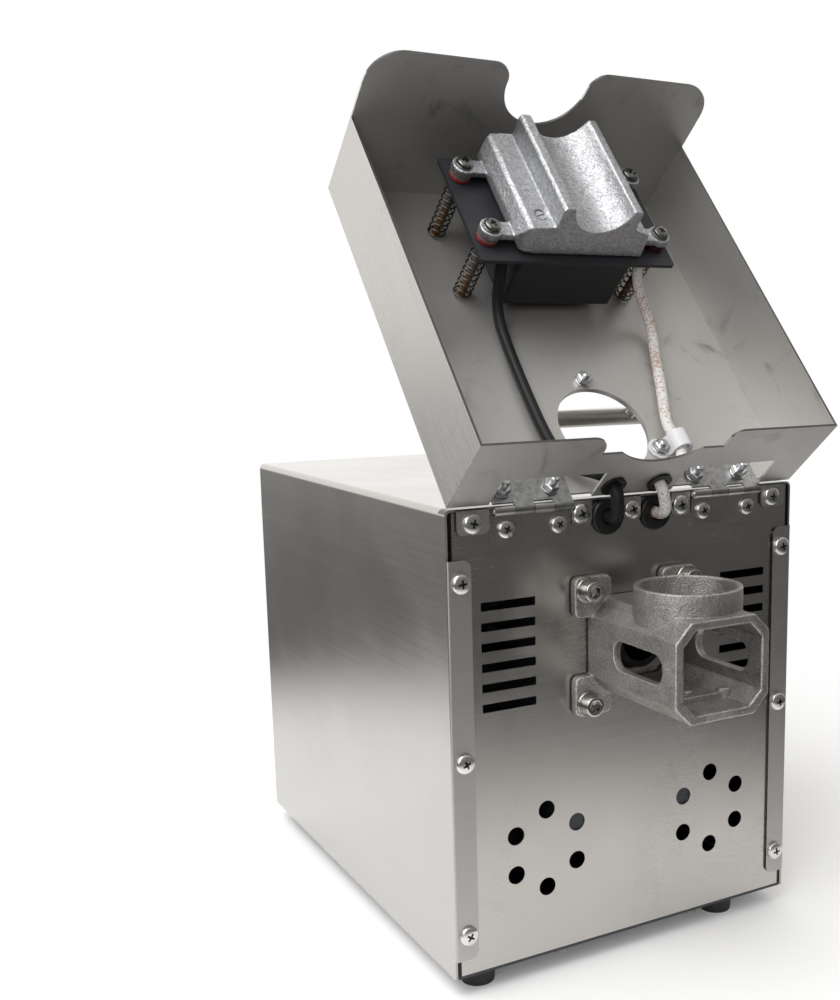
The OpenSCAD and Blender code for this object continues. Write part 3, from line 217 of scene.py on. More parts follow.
# ---------------------------------------------------------------- metals
def brushed(name, col, rough, rot=(0, 0, 0), up=(0, 0, 1), aniso=0.55, streak=0.06, smudge=0.04, col_var=0.05, wave=0.5, stain=0.0, front=0.0, flange_edge_shade=None, skin=None, metal=1.0, rim=None, lid_shadow_y=None, gap_shadow=None):
    """Stainless sheet. Walls carry brush lines along the sheet, across the last axis; faces square to that axis carry them along the second."""
    m, t, p = material(name)
    co = t.n("ShaderNodeTexCoord")
    v = t.mapping(co.outputs["Object"], rot=rot)
    sep = t.n("ShaderNodeSeparateXYZ")
    t.link(t.mapping(co.outputs["Normal"], rot=rot), sep.inputs[0])
    flat = t.math("GREATER_THAN", t.math("ABSOLUTE", sep.outputs[2]), 0.6)
    wall = t.noise(t.mapping(v, scale=(4, 4, 1300)), 1.0, 3.0, 0.7)
    top = t.noise(t.mapping(v, scale=(1300, 4, 4)), 1.0, 3.0, 0.7)
    wall2 = t.noise(t.mapping(v, scale=(1.2, 1.2, 420)), 1.0, 2.0, 0.6)
    top2 = t.noise(t.mapping(v, scale=(420, 1.2, 1.2)), 1.0, 2.0, 0.6)
    g1 = t.math("ADD", wall, t.math("MULTIPLY", flat, t.math("SUBTRACT", top, wall)))
    g2 = t.math("ADD", wall2, t.math("MULTIPLY", flat, t.math("SUBTRACT", top2, wall2)))
    sm = t.noise(v, 13.0, 4.0, 0.6, 0.6)
    sp = t.noise(v, 38.0, 4.0, 0.55, 1.2)
    lines = t.math("ADD", t.math("MULTIPLY", g1, 0.6), t.math("MULTIPLY", g2, 0.4))
    shade = t.math("ADD", t.range(lines, 0.3, 0.7, -streak, streak), t.range(sm, 0.35, 0.65, -smudge, smudge))
    if skin:
        ss = t.n("ShaderNodeSeparateXYZ")
        t.link(v, ss.inputs[0])
        outer = t.math("GREATER_THAN", t.math("ABSOLUTE", t.math("SUBTRACT", ss.outputs[0], skin[0])), skin[1])
        shade = t.math("SUBTRACT", shade, t.math("MULTIPLY", outer, skin[2]))
        shade = t.math("ADD", shade, t.math("MULTIPLY", outer, t.range(lines, 0.3, 0.7, -0.07, 0.07)))
    if front:
        face = t.math("GREATER_THAN", t.math("ABSOLUTE", sep.outputs[1]), 0.6)
        shade = t.math("ADD", shade, t.math("MULTIPLY", face, front))
    t.link(t.math("ADD", shade, rough, clamp=True), p.inputs["Roughness"])
    c = t.range(lines, 0.3, 0.7, 1 - col_var, 1 + col_var, clamp=True)
    # soft handling marks
    dirt = t.math("MULTIPLY", t.range(sp, 0.55, 0.78, 0, 1, smooth=True), t.range(sm, 0.42, 0.62, 0, stain, smooth=True))
    c = t.math("MULTIPLY", c, t.math("SUBTRACT", 1.0, dirt))
    colour = t.n("ShaderNodeMix", data_type="RGBA", blend_type="MULTIPLY")
    colour.inputs[0].default_value = 1.0
    colour.inputs[6].default_value = (*col, 1)
    if flange_edge_shade:
        # painted shade: the faces of the flanges and tabs that face across x, inside the cover's width, are darkened to
        # stand in for the shadow lines at their edges
        sx = t.n("ShaderNodeSeparateXYZ")
        t.link(v, sx.inputs[0])
        off = t.math("ABSOLUTE", t.math("SUBTRACT", sx.outputs[0], flange_edge_shade[0]))
        cut = t.math("MULTIPLY", t.math("LESS_THAN", off, flange_edge_shade[1]), t.math("GREATER_THAN", t.math("ABSOLUTE", sep.outputs[0]), 0.5))
        c = t.math("MULTIPLY", c, t.math("SUBTRACT", 1.0, t.math("MULTIPLY", cut, 0.85)))
    if rim is not None:
        # top edges of the walls: sheared and stained, darker than the sheet
        sr = t.n("ShaderNodeSeparateXYZ")
        t.link(v, sr.inputs[0])
        top_edge = t.math("MULTIPLY", t.math("GREATER_THAN", sr.outputs[2], rim), t.math("GREATER_THAN", sep.outputs[2], 0.25))
        c = t.math("MULTIPLY", c, t.math("SUBTRACT", 1.0, t.math("MULTIPLY", top_edge, 0.8)))
    if lid_shadow_y is not None:
        # painted shadow: up-facing faces in the front strip, under the open lid, are darkened where the lid shades them
        sl = t.n("ShaderNodeSeparateXYZ")
        t.link(v, sl.inputs[0])
        lid_shadow_mask = t.math("MULTIPLY", t.math("LESS_THAN", sl.outputs[1], lid_shadow_y), t.math("GREATER_THAN", sep.outputs[2], 0.3))
        c = t.math("MULTIPLY", c, t.math("SUBTRACT", 1.0, t.math("MULTIPLY", lid_shadow_mask, 0.75)))
    if gap_shadow is not None:
        # painted shadow: the panel beyond the given half-width from the middle is darkened, standing in for the shadow
        # in the gap between the cover's sides and the panel
        sg = t.n("ShaderNodeSeparateXYZ")
        t.link(v, sg.inputs[0])
        far = t.math("GREATER_THAN", t.math("ABSOLUTE", t.math("SUBTRACT", sg.outputs[0], gap_shadow[0])), gap_shadow[1])
        c = t.math("MULTIPLY", c, t.math("SUBTRACT", 1.0, t.math("MULTIPLY", far, 0.93)))
    cc = t.n("ShaderNodeCombineColor")
    for i in range(3):
        t.link(c, cc.inputs[i])
    t.link(cc.outputs[0], colour.inputs[7])
    t.link(colour.outputs[2], p.inputs["Base Color"])
    t.set(p, Metallic=metal)
    p.inputs["Anisotropic"].default_value = aniso
    across = t.mix(flat, up, (1.0, 0.0, 0.0))
    tv = t.n("ShaderNodeVectorTransform", vector_type="VECTOR", convert_from="OBJECT", convert_to="WORLD")
    t.link(across, tv.inputs[0])
    t.link(tv.outputs[0], p.inputs["Tangent"])
    t.link(t.bump(t.noise(v, 5.0, 1.0, 0.4), wave, 0.0010), p.inputs["Normal"])
    return m


def satin_metal(name, col, rough, scale=14.0, var=0.08, grain_scale=900.0, bump=0.12, dark=0.0, metal=1.0):
    """Sheet or turned metal with soft uneven gloss and no direction."""
    m, t, p = material(name)
    tc = t.n("ShaderNodeTexCoord").outputs["Object"]
    a = t.noise(tc, scale, 5.0, 0.6, 0.6)
    b = t.noise(tc, grain_scale, 2.0, 0.5)
    t.link(t.math("ADD", t.range(a, 0.3, 0.7, rough - var, rough + var), 0.0, clamp=True), p.inputs["Roughness"])
    lo = tuple(x * (1 - dark) for x in col)
    t.link(t.mix(t.range(a, 0.35, 0.7, 0, 1), lo, col), p.inputs["Base Color"])
    t.set(p, Metallic=metal)
    t.link(t.bump(b, bump, 0.00008), p.inputs["Normal"])
    return m


def cast_metal(name, col, rough, grain, bump, mottle=0.2, metal=1.0, depth=0.00035, edge=0.35, blotch=45.0, lighter=1.5, speck=0.3, cloud=0.45, back=None):
    """Sand-cast or blasted aluminium: grain, blotches, sparkle, a painted highlight on the edges where the mesh stands
    proud, painted shade in its hollows, and an optional painted shadow line along the back where it meets the panel.
    """
    m, t, p = material(name)
    tc = t.n("ShaderNodeTexCoord").outputs["Object"]
    a = t.noise(tc, blotch, 5.0, 0.68, 0.5)
    b = t.noise(tc, grain, 4.0, 0.75)
    f = t.noise(tc, grain * 1.9, 2.0, 0.6)
    v = t.n("ShaderNodeTexVoronoi")
    v.inputs["Scale"].default_value = grain * 0.8
    t.link(tc, v.inputs["Vector"])
    lo = tuple(x * (1 - mottle) for x in col)
    hi = tuple(min(1, x * (1 + mottle * 0.8)) for x in col)
    mixf = t.math("ADD", t.math("MULTIPLY", t.range(a, 0.35, 0.65, 0, 1), cloud), t.math("MULTIPLY", t.range(b, 0.36, 0.64, 0, 1), 1 - cloud))
    base = t.mix(mixf, lo, hi)
    spark = t.math("MULTIPLY", t.range(f, 0.60, 0.72, 0, 1), speck)
    base = t.mix(spark, base, tuple(min(1, x * 2.2) for x in col))
    pr = t.n("ShaderNodeAttribute", attribute_name="proud").outputs["Fac"]
    # painted highlight: edges standing proud of their neighbourhood are lightened
    edge_highlight = t.math("MULTIPLY", t.math("MULTIPLY", t.range(pr, 0.30, 0.75, 0, 1), edge), t.range(b, 0.38, 0.6, 0.25, 1.0))
    base = t.mix(edge_highlight, base, tuple(min(1, x * lighter) for x in col))
    # painted shade: hollows sinking below their neighbourhood are darkened
    hollow_shade = t.math("MULTIPLY", t.range(pr, -0.1, -0.45, 0, 1), 0.5)
    base = t.mix(hollow_shade, base, tuple(x * 0.45 for x in col))
    if back is not None:
        # painted shadow: a near-black line within about a millimetre of the panel face, where the casting meets it
        sp = t.n("ShaderNodeSeparateXYZ")
        t.link(tc, sp.inputs[0])
        base = t.mix(t.math("MULTIPLY", t.range(sp.outputs[1], back - 0.0016, back - 0.0006, 0, 1), 0.9), base, (0.015, 0.014, 0.013))
    t.link(base, p.inputs["Base Color"])
    t.link(t.range(b, 0.3, 0.7, rough + 0.12, rough - 0.1), p.inputs["Roughness"])
    t.set(p, Metallic=metal)
    h = t.math("ADD", b, t.math("MULTIPLY", v.outputs["Distance"], 0.6))
    t.link(t.bump(h, bump, depth), p.inputs["Normal"])
    return m


LID_W0 = -L(0, 0, 0).y * SP + L(0, 0, 0).z * CP
M = {}
M["cover"] = brushed("cover", (0.50, 0.488, 0.475), 0.21, streak=0.025, smudge=0.03, col_var=0.03, stain=0.05, front=0.22, flange_edge_shade=(SX / 1000, 0.0978), lid_shadow_y=R(0, 7, 0).y)
M["panel"] = brushed("panel", (0.52, 0.50, 0.475), 0.25, streak=0.02, smudge=0.03, col_var=0.025, stain=0.08, gap_shadow=(SX / 1000, 0.0968))
M["lid"] = brushed("lid", (0.51, 0.497, 0.478), 0.42, rot=(-PHI, 0, 0), up=(0, -SP, CP), aniso=0.2, streak=0.02, smudge=0.06, col_var=0.03, wave=0.3, stain=0.5, skin=(SX / 1000, 0.0985, 0.15), metal=0.6, rim=LID_W0 + 0.004)
M["screw"] = satin_metal("screw", (0.74, 0.73, 0.71), 0.27, 60, 0.04, 700, 0.04)
# painted shade: a darker copy of the bolt steel for the faces inside the hex sockets
M["socket"] = satin_metal("socket", (0.42, 0.41, 0.395), 0.15, 60, 0.04, 700, 0.04)
# painted shade: a near-black copy of the screw steel for the faces inside the cross recesses
M["recess"] = satin_metal("recess", (0.10, 0.098, 0.095), 0.5, 60, 0.04, 700, 0.04)
M["zinc"] = satin_metal("zinc", (0.55, 0.56, 0.57), 0.30, 90, 0.05, 500, 0.03, 0.10)
M["hinge"] = satin_metal("hinge", (0.52, 0.505, 0.48), 0.30, 50, 0.06, 800, 0.05, 0.12)
M["leaf"] = satin_metal("leaf", (0.44, 0.44, 0.435), 0.34, 400, 0.08, 500, 0.10, 0.42)
M["seat"] = cast_metal("seat", (0.40, 0.39, 0.375), 0.50, 1250, 1.0, 0.55, edge=0.9, blotch=60.0, lighter=1.9, speck=0.9, back=R(0, 0, 0).y)
M["block"] = cast_metal("block", (0.50, 0.505, 0.52), 0.52, 800, 0.6, 0.42, edge=0.8, blotch=260.0, lighter=1.5, speck=0.3, cloud=0.35)
M["tube"] = satin_metal("tube", (0.70, 0.69, 0.67), 0.18, 40, 0.04, 900, 0.04)
M["rubber"] = plain("rubber", (0.012, 0.012, 0.013), 0.32, spec=0.5)
M["foot"] = plain("foot", (0.02, 0.02, 0.02), 0.6)
M["plate"] = plain("plate", (0.030, 0.031, 0.036), 0.55, spec=0.4)
M["boxy"] = plain("boxy", (0.016, 0.016, 0.018), 0.5, spec=0.45)
def lid_height(t):
    """Height above the lid's outer skin, in metres, from object coordinates."""
    sp = t.n("ShaderNodeSeparateXYZ")
    tc = t.n("ShaderNodeTexCoord").outputs["Object"]
    t.link(t.mapping(tc, rot=(-PHI, 0, 0)), sp.inputs[0])
    return tc, sp.outputs[0], t.math("SUBTRACT", sp.outputs[2], LID_W0)


def soft_washer():
    """Clear red silicone rings: dark along the very bottom, red above, milky under the lugs, and darkened by painted
    shadow on the +x side.
    """
    m, t, p = material("soft_washer")
    tc, x, w = lid_height(t)
    red = t.mix(t.range(t.noise(tc, 500.0, 3.0, 0.6), 0.35, 0.65, 0, 1), (0.42, 0.035, 0.025), (0.25, 0.02, 0.018))
    col = t.mix(t.range(w, 0.0396, 0.0402, 0, 1), (0.012, 0.011, 0.02), red)
    col = t.mix(t.range(w, 0.0411, 0.0419, 0, 1), col, (0.24, 0.17, 0.17))
    # painted shadow: every ring on the +x side is turned dark red-brown where the lugs shade it
    t.link(t.mix(t.math("GREATER_THAN", x, 0.0), col, (0.05, 0.012, 0.012)), p.inputs["Base Color"])
    t.set(p, Roughness=0.3)
    p.inputs["Coat Weight"].default_value = 0.3
    return m


def rusty_bolt():
    m, t, p = material("rusty_bolt")
    tc, x, w = lid_height(t)
    n = t.noise(tc, 420.0, 4.0, 0.6)
    low = t.range(t.math("ADD", w, t.math("MULTIPLY", n, 0.006)), 0.018, 0.025, 1, 0)
    rust = t.mix(t.range(n, 0.35, 0.65, 0, 1), (0.16, 0.075, 0.025), (0.34, 0.19, 0.08))
    t.link(t.mix(low, (0.16, 0.155, 0.15), rust), p.inputs["Base Color"])
    t.set(p, Metallic=0.6, Roughness=0.45)
    thread = t.math("SINE", t.math("MULTIPLY", w, 6283.0 / 0.8))
    t.link(t.bump(thread, 0.5, 0.0002), p.inputs["Normal"])
    return m


M["red_rubber"] = soft_washer()
M["spring"] = satin_metal("spring", (0.15, 0.14, 0.125), 0.30, 200, 0.06)
M["bolt"] = rusty_bolt()
M["boltw"] = satin_metal("boltw", (0.55, 0.54, 0.52), 0.17, 150, 0.05, 600, 0.05, 0.2)
M["darkscrew"] = satin_metal("darkscrew", (0.27, 0.268, 0.25), 0.30, 400, 0.08, 600, 0.05, 0.4)
M["hub"] = satin_metal("hub", (0.045, 0.044, 0.042), 0.28, 80, 0.06, 600, 0.05, 0.3)
M["washer"] = satin_metal("washer", (0.60, 0.58, 0.54), 0.26, 150, 0.06, 600, 0.06, 0.25)
M["black"] = plain("black", (0.018, 0.018, 0.02), 0.45)
M["alu"] = satin_metal("alu", (0.5, 0.5, 0.5), 0.45)
M["steel_dark"] = satin_metal("steel_dark", (0.30, 0.29, 0.28), 0.33, 80, 0.1)
M["bronze"] = satin_metal("bronze", (0.60, 0.42, 0.22), 0.35)
M["winding"] = plain("winding", (0.30, 0.12, 0.05), 0.4, metal=0.3)
M["motor"] = plain("motor", (0.03, 0.035, 0.04), 0.4)
M["green"] = plain("green", (0.02, 0.16, 0.06), 0.4)
M["part"] = plain("part", (0.03, 0.03, 0.035), 0.4)
M["red"] = plain("red", (0.45, 0.015, 0.01), 0.2, coat=0.5)
M["grey"] = plain("grey", (0.30, 0.30, 0.31), 0.4)
M["display"] = plain("display", (0.02, 0.004, 0.004), 0.06, coat=1.0)
M["cable"] = plain("cable", (0.012, 0.012, 0.013), 0.5, spec=0.35)
M["clip"] = plain("clip", (0.95, 0.95, 0.985), 0.34, trans=0.3, ior=1.42, var=0.04)


def braid():
    """White glass braid with red-brown tracer threads, laid by the tube's own UVs (metres along, turns around)."""
    m, t, p = material("braid")
    uv = t.n("ShaderNodeUVMap").outputs[0]
    s = t.n("ShaderNodeSeparateXYZ")
    t.link(uv, s.inputs[0])
    u, v = s.outputs[0], s.outputs[1]
    a = t.math("ADD", t.math("MULTIPLY", u, 1050.0), t.math("MULTIPLY", v, 18.0))
    b = t.math("SUBTRACT", t.math("MULTIPLY", u, 1050.0), t.math("MULTIPLY", v, 18.0))
    ha = t.math("ABSOLUTE", t.math("SUBTRACT", t.math("FRACT", a), 0.5))
    hb = t.math("ABSOLUTE", t.math("SUBTRACT", t.math("FRACT", b), 0.5))
    h = t.math("MAXIMUM", ha, hb)
    tc = t.n("ShaderNodeTexCoord").outputs["Object"]
    coarse = t.noise(tc, 48.0, 3.0, 0.6)
    cell = t.n("ShaderNodeCombineXYZ")
    t.link(t.math("FLOOR", a), cell.inputs[0])
    t.link(t.math("FLOOR", b), cell.inputs[1])
    wn = t.n("ShaderNodeTexWhiteNoise", noise_dimensions="2D")
    t.link(cell.outputs[0], wn.inputs["Vector"])
    chance = t.range(coarse, 0.40, 0.62, 0.97, 0.45)
    fleck = t.math("MULTIPLY", t.math("GREATER_THAN", wn.outputs["Value"], chance), 0.8)
    # painted highlight and shade: strand crests are lighter and the grooves between strands darker
    base = t.mix(t.range(h, 0.1, 0.5, 0, 1), (0.62, 0.60, 0.57), (0.92, 0.91, 0.88))
    t.link(t.mix(fleck, base, (0.50, 0.30, 0.22)), p.inputs["Base Color"])
    t.set(p, Roughness=0.8)
    t.link(t.bump(h, 0.6, 0.0004), p.inputs["Normal"])
    return m


M["braid"] = braid()


def paint(name, key):
    ob = nodes[name]
    me = ob.data
    if not me.materials:
        me.materials.append(M[key])
    for s in ob.material_slots:
        s.link = "OBJECT"
        s.material = M[key]


for key, names in {
    "cover": ["cover_shell"], "panel": ["front_panel", "rear_panel"], "lid": ["lid_tray"],
    "alu": ["motor_front_bell", "motor_end_bell"], "motor": ["motor_can", "base_plate", "gearbox_case", "gearbox_cover"],
    "foot": ["rubber_feet"], "screw": ["cover_screws", "hinge_leaf_screws", "hinge_pins"], "darkscrew": ["chassis_screws"], "hub": ["output_hub"],
    "hinge": ["hinge_lower_leaves", "hopper_ring"], "leaf": ["hinge_upper_leaves"], "rubber": ["panel_grommets", "lid_grommets"],
    "seat": ["feed_casting"], "tube": ["lid_handle"], "washer": ["casting_washers"], "boltw": ["casting_bolts"],
    "steel_dark": ["gearbox_screws", "output_gear", "lay_shaft", "lay_gears", "motor_pinion", "motor_shaft", "rotor_core", "motor_cradle"],
    "bronze": ["shaft_bushes"], "winding": ["stator"],
    "black": ["fan_frame", "fan_impeller", "power_inlet", "controller_housing", "switch_housings", "run_rocker"],
    "red": ["heat_rocker"], "grey": ["set_button", "up_button", "down_button"], "display": ["controller_display"],
    "green": ["control_board"], "part": ["board_parts"], "cable": ["lead_loops", "inner_leads"], "braid": ["lid_leads"],
    "zinc": ["hinge_bolts", "ring_screws"], "clip": ["lead_clip"], "bolt": ["heater_bolts"], "spring": ["heater_springs"],
    "block": ["heater_block"], "red_rubber": ["lug_washers"], "plate": ["heater_plate"], "boxy": ["heater_box"],
}.items():
    for k in names:
        paint(k, key)


# ---------------------------------------------------------------- mesh helpers
def new_object(name, verts, faces, mats, smooth=True, mat_index=None, uvs=None):
    me = bpy.data.meshes.new(name)
    me.from_pydata([tuple(v) for v in verts], [], faces)
    me.update()
    for k in (mats if isinstance(mats, (list, tuple)) else [mats]):
        me.materials.append(M[k])
    for i, pl in enumerate(me.polygons):
        pl.use_smooth = smooth
        if mat_index is not None:
            pl.material_index = mat_index[i]
    if uvs is not None:
        layer = me.uv_layers.new(name="UVMap")
        for loop in me.loops:
            layer.data[loop.index].uv = uvs[loop.vertex_index]
    ob = bpy.data.objects.new(name, me)
    scene.collection.objects.link(ob)
    return ob


def catmull(pts, n):
    pts = [Vector(p) for p in pts]
    out = []
    for i in range(len(pts) - 1):
        a, b, c, d = pts[max(i - 1, 0)], pts[i], pts[i + 1], pts[min(i + 2, len(pts) - 1)]
        for k in range(n):
            s = k / n
            out.append(0.5 * ((2 * b) + (c - a) * s + (2 * a - 5 * b + 4 * c - d) * s * s + (3 * b - a - 3 * c + d) * s ** 3))
    out.append(pts[-1])
    return out


def tube_data(path, radius, sides, u0=0.0, closed_ends=True):
    """Verts, faces and UVs of a tube along a path, with parallel transport and a seam."""
    n = len(path)
    tang = [(path[min(i + 1, n - 1)] - path[max(i - 1, 0)]).normalized() for i in range(n)]
    side = tang[0].orthogonal().normalized()
    verts, uvs, faces = [], [], []
    dist = u0
    for i in range(n):
        if i:
            dist += (path[i] - path[i - 1]).length
            side = (side - side.dot(tang[i]) * tang[i]).normalized()
        up = tang[i].cross(side)
        r = radius(i / (n - 1)) if callable(radius) else radius
        for k in range(sides + 1):
            a = 2 * math.pi * k / sides
            verts.append(path[i] + r * (math.cos(a) * side + math.sin(a) * up))
            uvs.append((dist, k / sides))
    w = sides + 1
    for i in range(n - 1):
        for k in range(sides):
            faces.append((i * w + k, i * w + k + 1, (i + 1) * w + k + 1, (i + 1) * w + k))
    if closed_ends:
        for base, c, flip in ((0, path[0], True), ((n - 1) * w, path[-1], False)):
            ci = len(verts)
            verts.append(c)
            uvs.append((dist, 0.5))
            for k in range(sides):
                f = (base + k, base + k + 1, ci)
                faces.append(f[::-1] if flip else f)
    return verts, faces, uvs


def weld(ob, dist=1e-6):
    bm = bmesh.new()
    bm.from_mesh(ob.data)
    bmesh.ops.remove_doubles(bm, verts=bm.verts, dist=dist)
    bm.to_mesh(ob.data)
    bm.free()


def revolve(profile, sides, origin, axis, ref=None):
    """Closed solid of revolution. profile is (radius, height along axis) from the axis back to the axis."""
    axis = Vector(axis).normalized()
    u = (Vector(ref) if ref else axis.orthogonal()).normalized()
    w = axis.cross(u)
    verts, faces, rings = [], [], []
    for r, h in profile:
        if r < 1e-9:
            rings.append([len(verts)])
            verts.append(Vector(origin) + h * axis)
        else:
            rings.append(list(range(len(verts), len(verts) + sides)))
            for k in range(sides):
                a = 2 * math.pi * k / sides
                verts.append(Vector(origin) + r * (math.cos(a) * u + math.sin(a) * w) + h * axis)
    for a, b in zip(rings, rings[1:]):
        for k in range(sides):
            k2 = (k + 1) % sides
            if len(a) == 1 and len(b) == 1:
                continue
            if len(a) == 1:
                faces.append((a[0], b[k2], b[k]))
            elif len(b) == 1:
                faces.append((a[k], a[k2], b[0]))
            else:
                faces.append((a[k], a[k2], b[k2], b[k]))
    return verts, faces


def join_data(parts):
    verts, faces, idx = [], [], []
    for v, f, m in parts:
        o = len(verts)
        verts += [Vector(x) for x in v]
        faces += [tuple(i + o for i in q) for q in f]
        idx += m if isinstance(m, list) else [m] * len(f)
    return verts, faces, idx


def applied(ob):
    """The evaluated mesh of an object, as a new mesh datablock."""
    dg = bpy.context.evaluated_depsgraph_get()
    dg.update()
    return bpy.data.meshes.new_from_object(ob.evaluated_get(dg), depsgraph=dg)


def shade_auto(ob, angle=35):
    me = ob.data
    for pl in me.polygons:
        pl.use_smooth = True
    me.set_sharp_from_angle(angle=math.radians(angle))


# ---------------------------------------------------------------- screws
def phillips_mesh(name, head_r, head_h, mat, cross=0.52, sides=40, wide=0.115):
    """Pan head with a tapered cross recess, axis +Z, seat at z = 0, sizes in mm."""
    cr = (head_r ** 2 + head_h ** 2) / (2 * head_h) * 0.86
    prof = [(0, 0), (head_r - 0.12, 0), (head_r, 0.12), (head_r, head_h * 0.34)]
    steps = 9
    for i in range(1, steps):
        a = i / steps
        rr = head_r * math.cos(a * math.pi / 2)
        prof.append((rr, head_h * (0.34 + 0.66 * math.sin(a * math.pi / 2) ** 0.9)))
    prof.append((0, head_h))
    v, f = revolve(prof, sides, (0, 0, 0), (0, 0, 1), (1, 0, 0))
    head = new_object(name, v, f, mat)
    arm = head_r * cross
    parts = []
    for s in (0, 1):
        x, y = (arm, head_r * wide) if s == 0 else (head_r * wide, arm)
        zt, zb = head_h + 0.5, head_h * 0.30
        k = 0.45
        vs = [(-x, -y, zt), (x, -y, zt), (x, y, zt), (-x, y, zt)]
        x2, y2 = (x * k, y * 0.7) if s == 0 else (x * 0.7, y * k)
        vs += [(-x2, -y2, zb), (x2, -y2, zb), (x2, y2, zb), (-x2, y2, zb)]
        fs = [(0, 1, 2, 3), (7, 6, 5, 4), (0, 4, 5, 1), (1, 5, 6, 2), (2, 6, 7, 3), (3, 7, 4, 0)]
        parts.append((vs, fs, 0))
    for v2, f2, _ in parts:
        cut = new_object(name + "_cut", v2, f2, mat)
        md = head.modifiers.new("cut", "BOOLEAN")
        md.operation = "DIFFERENCE"
        md.solver = "EXACT"
        md.object = cut
        me = applied(head)
        head.modifiers.clear()
        head.data = me
        bpy.data.objects.remove(cut)
    bm = bmesh.new()
    bm.from_mesh(head.data)
    bmesh.ops.remove_doubles(bm, verts=bm.verts, dist=1e-5)
    bmesh.ops.recalc_face_normals(bm, faces=bm.faces)
    vs = [v.co.copy() for v in bm.verts]
    fs = [tuple(v.index for v in q.verts) for q in bm.faces]
    deep = []
    for q in bm.faces:
        c = q.calc_center_median()
        rr = math.hypot(c.x, c.y)
        dome = head_h * (0.34 + 0.66 * math.sqrt(max(1 - (rr / head_r) ** 2, 0)) ** 0.9)
        deep.append(1 if rr < arm * 1.05 and c.z < dome - 0.10 * head_h and c.z > head_h * 0.2 else 0)
    bm.free()
    bpy.data.objects.remove(head)
    return vs, fs, deep


def placed(data, origin, axis, turn, scale=0.001, mat=0):
    vs, fs, deep = data
    axis = Vector(axis).normalized()
    q = Vector((0, 0, 1)).rotation_difference(axis).to_matrix() @ Matrix.Rotation(turn, 3, "Z")
    return [Vector(origin) + scale * (q @ v) for v in vs], fs, [9 if k else mat for k in deep]


def cylinder(r0, r1, h0, h1, sides, origin, axis, chamfer=0.0):
    prof = [(0, h0), (r0 - chamfer, h0), (r0, h0 + chamfer), (r1, h1 - chamfer), (r1 - chamfer, h1), (0, h1)]
    v, f = revolve([(r / 1000, h / 1000) for r, h in prof], sides, origin, axis)
    return v, f, 0


def finish_object(parts, name, mats, body, replaced=(), angle=35, deep="recess"):
    v, f, idx = join_data(parts)
    if 9 in idx:
        mats = mats + [deep]
        idx = [len(mats) - 1 if k == 9 else k for k in idx]
    ob = new_object(name, v, f, mats, mat_index=idx)
    shade_auto(ob, angle)
    if replaced:
        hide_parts(*replaced)
    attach(ob, body)
    return ob


rng = random.Random(7)
pan5 = phillips_mesh("pan5", 4.75, 2.6, "screw")
pan4 = phillips_mesh("pan4", 4.3, 2.3, "screw")
parts = []
TABS = [-87, -30, -1.1, 27.6, 85.8]
for s in (-1, 1):
    for z in (21.8, 106.3, 190.5):
        for y, d in ((-1.2, -1), (269.2, 1)):
            parts.append(placed(pan5, R(s * 93.3, y, z), (0, d, 0), rng.uniform(0, 3.1)))
for x in TABS:
    for y, d in ((-1.2, -1), (269.2, 1)):
        parts.append(placed(pan5, R(x, y, 217.3), (0, d, 0), rng.uniform(0, 3.1)))
shafts = []
for s in (-1, 1):
    for z in (21.8, 106.3, 190.5):
        for y, d in ((-1.2, 1), (269.2, -1)):
            shafts.append(cylinder(2.5, 2.3, 0, 8, 16, R(s * 93.3, y, z), (0, d, 0)))
for x in TABS:
    for y, d in ((-1.2, 1), (269.2, -1)):
        shafts.append(cylinder(2.5, 2.3, 0, 8, 16, R(x, y, 217.3), (0, d, 0)))
finish_object(parts + shafts, "case_screws", ["screw"], "housing", ["cover_screws"])
parts = []
for h in (-56.1, 55.6):
    for s in (-1, 1):
        parts.append(placed(pan4, R(h + s * 13.9, -1.2, 213.4), (0, -1, 0), rng.uniform(0, 3.1)))
        parts.append(cylinder(2.0, 1.9, 0, 6, 16, R(h + s * 13.9, -1.2, 213.4), (0, 1, 0)))
finish_object(parts, "leaf_screws", ["screw"], "housing", ["hinge_leaf_screws"])


def socket_head(origin, axis, turn, r=5.0, h=5.9, flat=2.55, deep=2.9, sides=60):
    """Cap head with a rounded rim and a six-sided socket, seat at the origin, then the shank behind it."""
    axis = Vector(axis).normalized()
    u = axis.orthogonal().normalized()
    w = axis.cross(u)
    prof = [(3.0, -14, 0), (3.0, -0.02, 0), (r - 0.15, 0, 0), (r, 0.15, 0), (r, h - 0.75, 0), (r - 0.12, h - 0.38, 0), (r - 0.38, h - 0.12, 0),
            (r - 0.8, h, 0), (flat + 0.75, h, 0), (flat + 0.18, h - 0.12, 1), (flat, h - 0.5, 1), (flat, h - deep, 1), (flat * 0.3, h - deep - 0.5, 1)]
    verts, faces, idx = [], [], []
    for rr, hh, hexed in prof:
        for k in range(sides):
            a = 2 * math.pi * k / sides
            q = rr / math.cos((a % (math.pi / 3)) - math.pi / 6) if hexed else rr
            verts.append(Vector(origin) + (q * math.cos(a + turn) * u + q * math.sin(a + turn) * w + hh * axis) / 1000)
    for i in range(len(prof) - 1):
        for k in range(sides):
            k2 = (k + 1) % sides
            faces.append((i * sides + k, i * sides + k2, (i + 1) * sides + k2, (i + 1) * sides + k))
            idx.append(9 if i >= len(prof) - 3 else 0)
    for base, flip in ((0, True), ((len(prof) - 1) * sides, False)):
        ci = len(verts)
        verts.append(Vector(origin) + (prof[0][1] if flip else h - deep - 0.6) / 1000 * axis)
        for k in range(sides):
            f = (base + k, base + (k + 1) % sides, ci)
            faces.append(f[::-1] if flip else f)
            idx.append(0 if flip else 9)
    return verts, faces, idx


